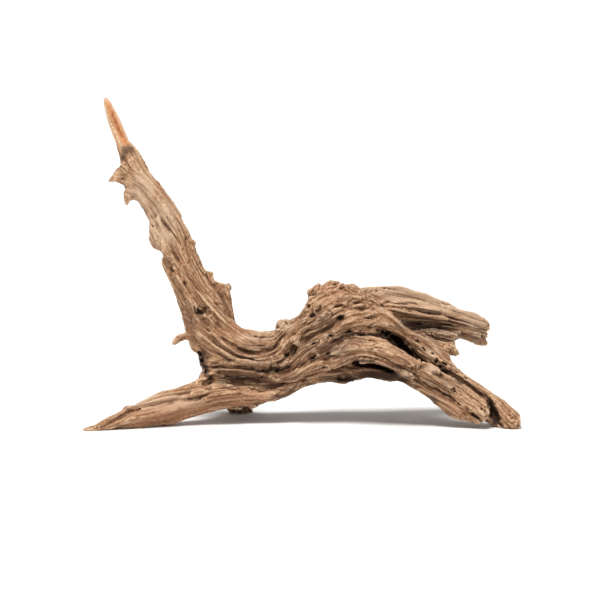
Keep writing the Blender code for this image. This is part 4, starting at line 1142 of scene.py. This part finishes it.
# Colours laid over the grain, and then over the tints, the second being painted light and shade: a painted
# highlight on the crests, and painted shade in creases, furrows, sheltered spots and shadowed patches; each
# has value, where it starts and is full, share, colour
grainLayers = [("tone", 0.5, 0.88, 1.0, "light"), ("lines", -0.35, -0.95, 0.60, "dark")]
lightAndShadeLayers = [
    # painted highlight: the crests lighter
    ("hollow", -0.15, -0.9, 0.48, "edge"),
    # painted shade: the creases darker, and the deepest hollows near black
    ("hollow", 0.05, 0.95, 0.9, "dark"),
    ("hollow", 0.6, 1.7, 0.85, "deep"),
    # painted shade along the traced furrows
    ("furrowShade", 0.15, 0.9, 0.8, "dark"),
    # painted shade where the wood round a spot closes it off
    ("shelterShade", 0.35, 1.0, 0.88, "deep"),
    # painted shadow over its patches
    ("paintedShadow", 0.0, 1.0, 0.75, "deep"),
]


class Finish:
    # short ways to place and join a material's nodes
    def __init__(self, name):
        self.material = bpy.data.materials.new(name)
        self.material.use_nodes = True
        self.nodes = self.material.node_tree.nodes
        self.links = self.material.node_tree.links
        self.shader = self.nodes["Principled BSDF"]
        self.place = self.nodes.new("ShaderNodeTexCoord").outputs["Object"]

    def feed(self, socket, value):
        if isinstance(value, (int, float, tuple)):
            socket.default_value = value
        else:
            self.links.new(value, socket)

    def value(self, attribute):
        node = self.nodes.new("ShaderNodeAttribute")
        node.attribute_name = attribute
        return node.outputs["Fac"]

    def noise(self, scale, detail, rough):
        node = self.nodes.new("ShaderNodeTexNoise")
        node.inputs["Scale"].default_value = scale
        node.inputs["Detail"].default_value = detail
        node.inputs["Roughness"].default_value = rough
        self.links.new(self.place, node.inputs["Vector"])
        return node.outputs["Fac"]

    def span(self, value, low, high, start=0.0, end=1.0):
        node = self.nodes.new("ShaderNodeMapRange")
        self.feed(node.inputs["Value"], value)
        for socket, number in (("From Min", low), ("From Max", high), ("To Min", start), ("To Max", end)):
            node.inputs[socket].default_value = number
        return node.outputs["Result"]

    def reckon(self, operation, *values):
        node = self.nodes.new("ShaderNodeMath")
        node.operation = operation
        for socket, value in zip(node.inputs, values):
            self.feed(socket, value)
        return node.outputs["Value"]

    def spansAdded(self, values, ranges):
        # the sum of several values, each brought from its own range to its own share
        parts = [self.span(values[name], *numbers) for name, numbers in ranges.items()]
        total = parts[0]
        for part in parts[1:]:
            total = self.reckon("ADD", total, part)
        return total

    def mix(self, factor, a, b):
        node = self.nodes.new("ShaderNodeMix")
        node.data_type = "RGBA"
        # a Mix node has more than one A, B and Result, and these are the ones for colours
        for index, value in ((0, factor), (6, a), (7, b)):
            self.feed(node.inputs[index], value)
        return node.outputs[2]

    def layer(self, under, value, start, full, share, colour):
        return self.mix(self.span(value, start, full, 0.0, share), under, finish[colour])


def woodMaterial():
    made = Finish("weathered_wood")
    values = {name: made.value(name) for name in look["attributes"]}
    for name, numbers in look["noises"].items():
        values[name] = made.noise(*numbers)

    # thin lines of grain: level lines of the strands' own pattern, bent a little by the speckle
    speckled = made.reckon("MULTIPLY", values["speckle"], look["lines"]["speckle"])
    bent = made.reckon("MULTIPLY_ADD", values["fine"], look["lines"]["fine"], speckled)
    turned = made.reckon("MULTIPLY", values["medium"], look["lines"]["medium"])
    values["lines"] = made.reckon("SINE", made.reckon("ADD", bent, turned))

    tone = values["tone"] = made.spansAdded(values, look["tone"])
    colour = made.mix(made.span(tone, *look["darkToMid"]), finish["dark"], finish["mid"])
    for name, *numbers in grainLayers:
        colour = made.layer(colour, values[name], *numbers)
    # the tint patches lay the wood's own tones and also painted light and painted shade
    for name, share in look["tints"].items():
        tinted = made.mix(look["tintShare"], colour, finish[name])
        factor = made.reckon("MULTIPLY", made.value(name), share * look["tintGain"])
        colour = made.mix(factor, colour, tinted)

    bare = made.mix(made.span(values["medium"], *look["bare"]), finish["cream"], finish["peeled"])
    bare = made.layer(bare, values["speckle"], *look["bareSpeckle"])
    streak = made.reckon("MULTIPLY", made.value("streaked"), look["bareStreak"])
    bare = made.mix(streak, bare, finish["streaked"])
    colour = made.mix(made.value("peeled"), colour, bare)

    # painted highlight on crests, and painted shade in creases, furrows, sheltered spots and shadowed
    # patches
    for name, *numbers in lightAndShadeLayers:
        colour = made.layer(colour, values[name], *numbers)
    made.links.new(colour, made.shader.inputs["Base Color"])

    smooth, rough = finish["roughness"]
    made.links.new(made.span(tone, *look["rough"], rough, smooth), made.shader.inputs["Roughness"])
    bump = made.nodes.new("ShaderNodeBump")
    bump.inputs["Strength"].default_value = look["bumpStrength"]
    bump.inputs["Distance"].default_value = look["bumpDistance"]
    made.links.new(made.spansAdded(values, look["bump"]), bump.inputs["Height"])
    made.links.new(bump.outputs["Normal"], made.shader.inputs["Normal"])
    return made.material


# The pale floor and the soft light
stage = {
    "floorSize": 60.0,
    "floorColour": (0.86, 0.85, 0.83, 1),
    "floorRoughness": 0.9,
    "worldSeen": 1.0,
    "worldLight": 0.38,
    "suns": {
        "above": {"strength": 3.4, "angle": 24, "from": (-0.3, -0.6, 1.6)},
        "front": {"strength": 0.55, "angle": 60, "from": (0.8, -1.6, 0.7)},
    },
}


def makeStage():
    bpy.ops.mesh.primitive_plane_add(size=stage["floorSize"], location=(0, 0, 0))
    floor = bpy.context.object
    floor.name = "floor"
    material = bpy.data.materials.new("pale_floor")
    material.use_nodes = True
    shader = material.node_tree.nodes["Principled BSDF"]
    shader.inputs["Base Color"].default_value = stage["floorColour"]
    shader.inputs["Roughness"].default_value = stage["floorRoughness"]
    floor.data.materials.append(material)
    print("floor laid")


def makeLight():
    # the floor and the wood get less of the world's light than the camera sees
    world = bpy.data.worlds.new("studio")
    bpy.context.scene.world = world
    world.use_nodes = True
    nodes, links = world.node_tree.nodes, world.node_tree.links
    background = nodes["Background"]
    background.inputs["Color"].default_value = (1, 1, 1, 1)
    path = nodes.new("ShaderNodeLightPath")
    level = nodes.new("ShaderNodeMapRange")
    level.inputs["To Min"].default_value = stage["worldLight"]
    level.inputs["To Max"].default_value = stage["worldSeen"]
    links.new(path.outputs["Is Camera Ray"], level.inputs["Value"])
    links.new(level.outputs["Result"], background.inputs["Strength"])
    for name, values in stage["suns"].items():
        lamp = bpy.data.lights.new(name, "SUN")
        lamp.energy = values["strength"]
        lamp.angle = math.radians(values["angle"])
        made = bpy.data.objects.new(name, lamp)
        made.location = values["from"]
        made.rotation_euler = (-Vector(values["from"])).to_track_quat("-Z", "Y").to_euler()
        bpy.context.scene.collection.objects.link(made)
    print("suns", len(stage["suns"]))


def makeCamera():
    lens = bpy.data.cameras.new("camera")
    lens.sensor_width = view["sensor"]
    lens.lens = view["lens"]
    camera = bpy.data.objects.new("camera", lens)
    camera.location = [value * mm for value in view["eye"]]
    camera.rotation_euler = (math.radians(90 - view["tiltDown"]), 0, 0)
    bpy.context.scene.collection.objects.link(camera)
    bpy.context.scene.camera = camera
    print("camera placed")


wood = makeWood()
wood.data.materials.clear()
wood.data.materials.append(woodMaterial())
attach(wood, "root")
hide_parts("driftwood")
makeStage()
makeLight()
makeCamera()
bpy.context.scene.view_settings.view_transform = "Standard"
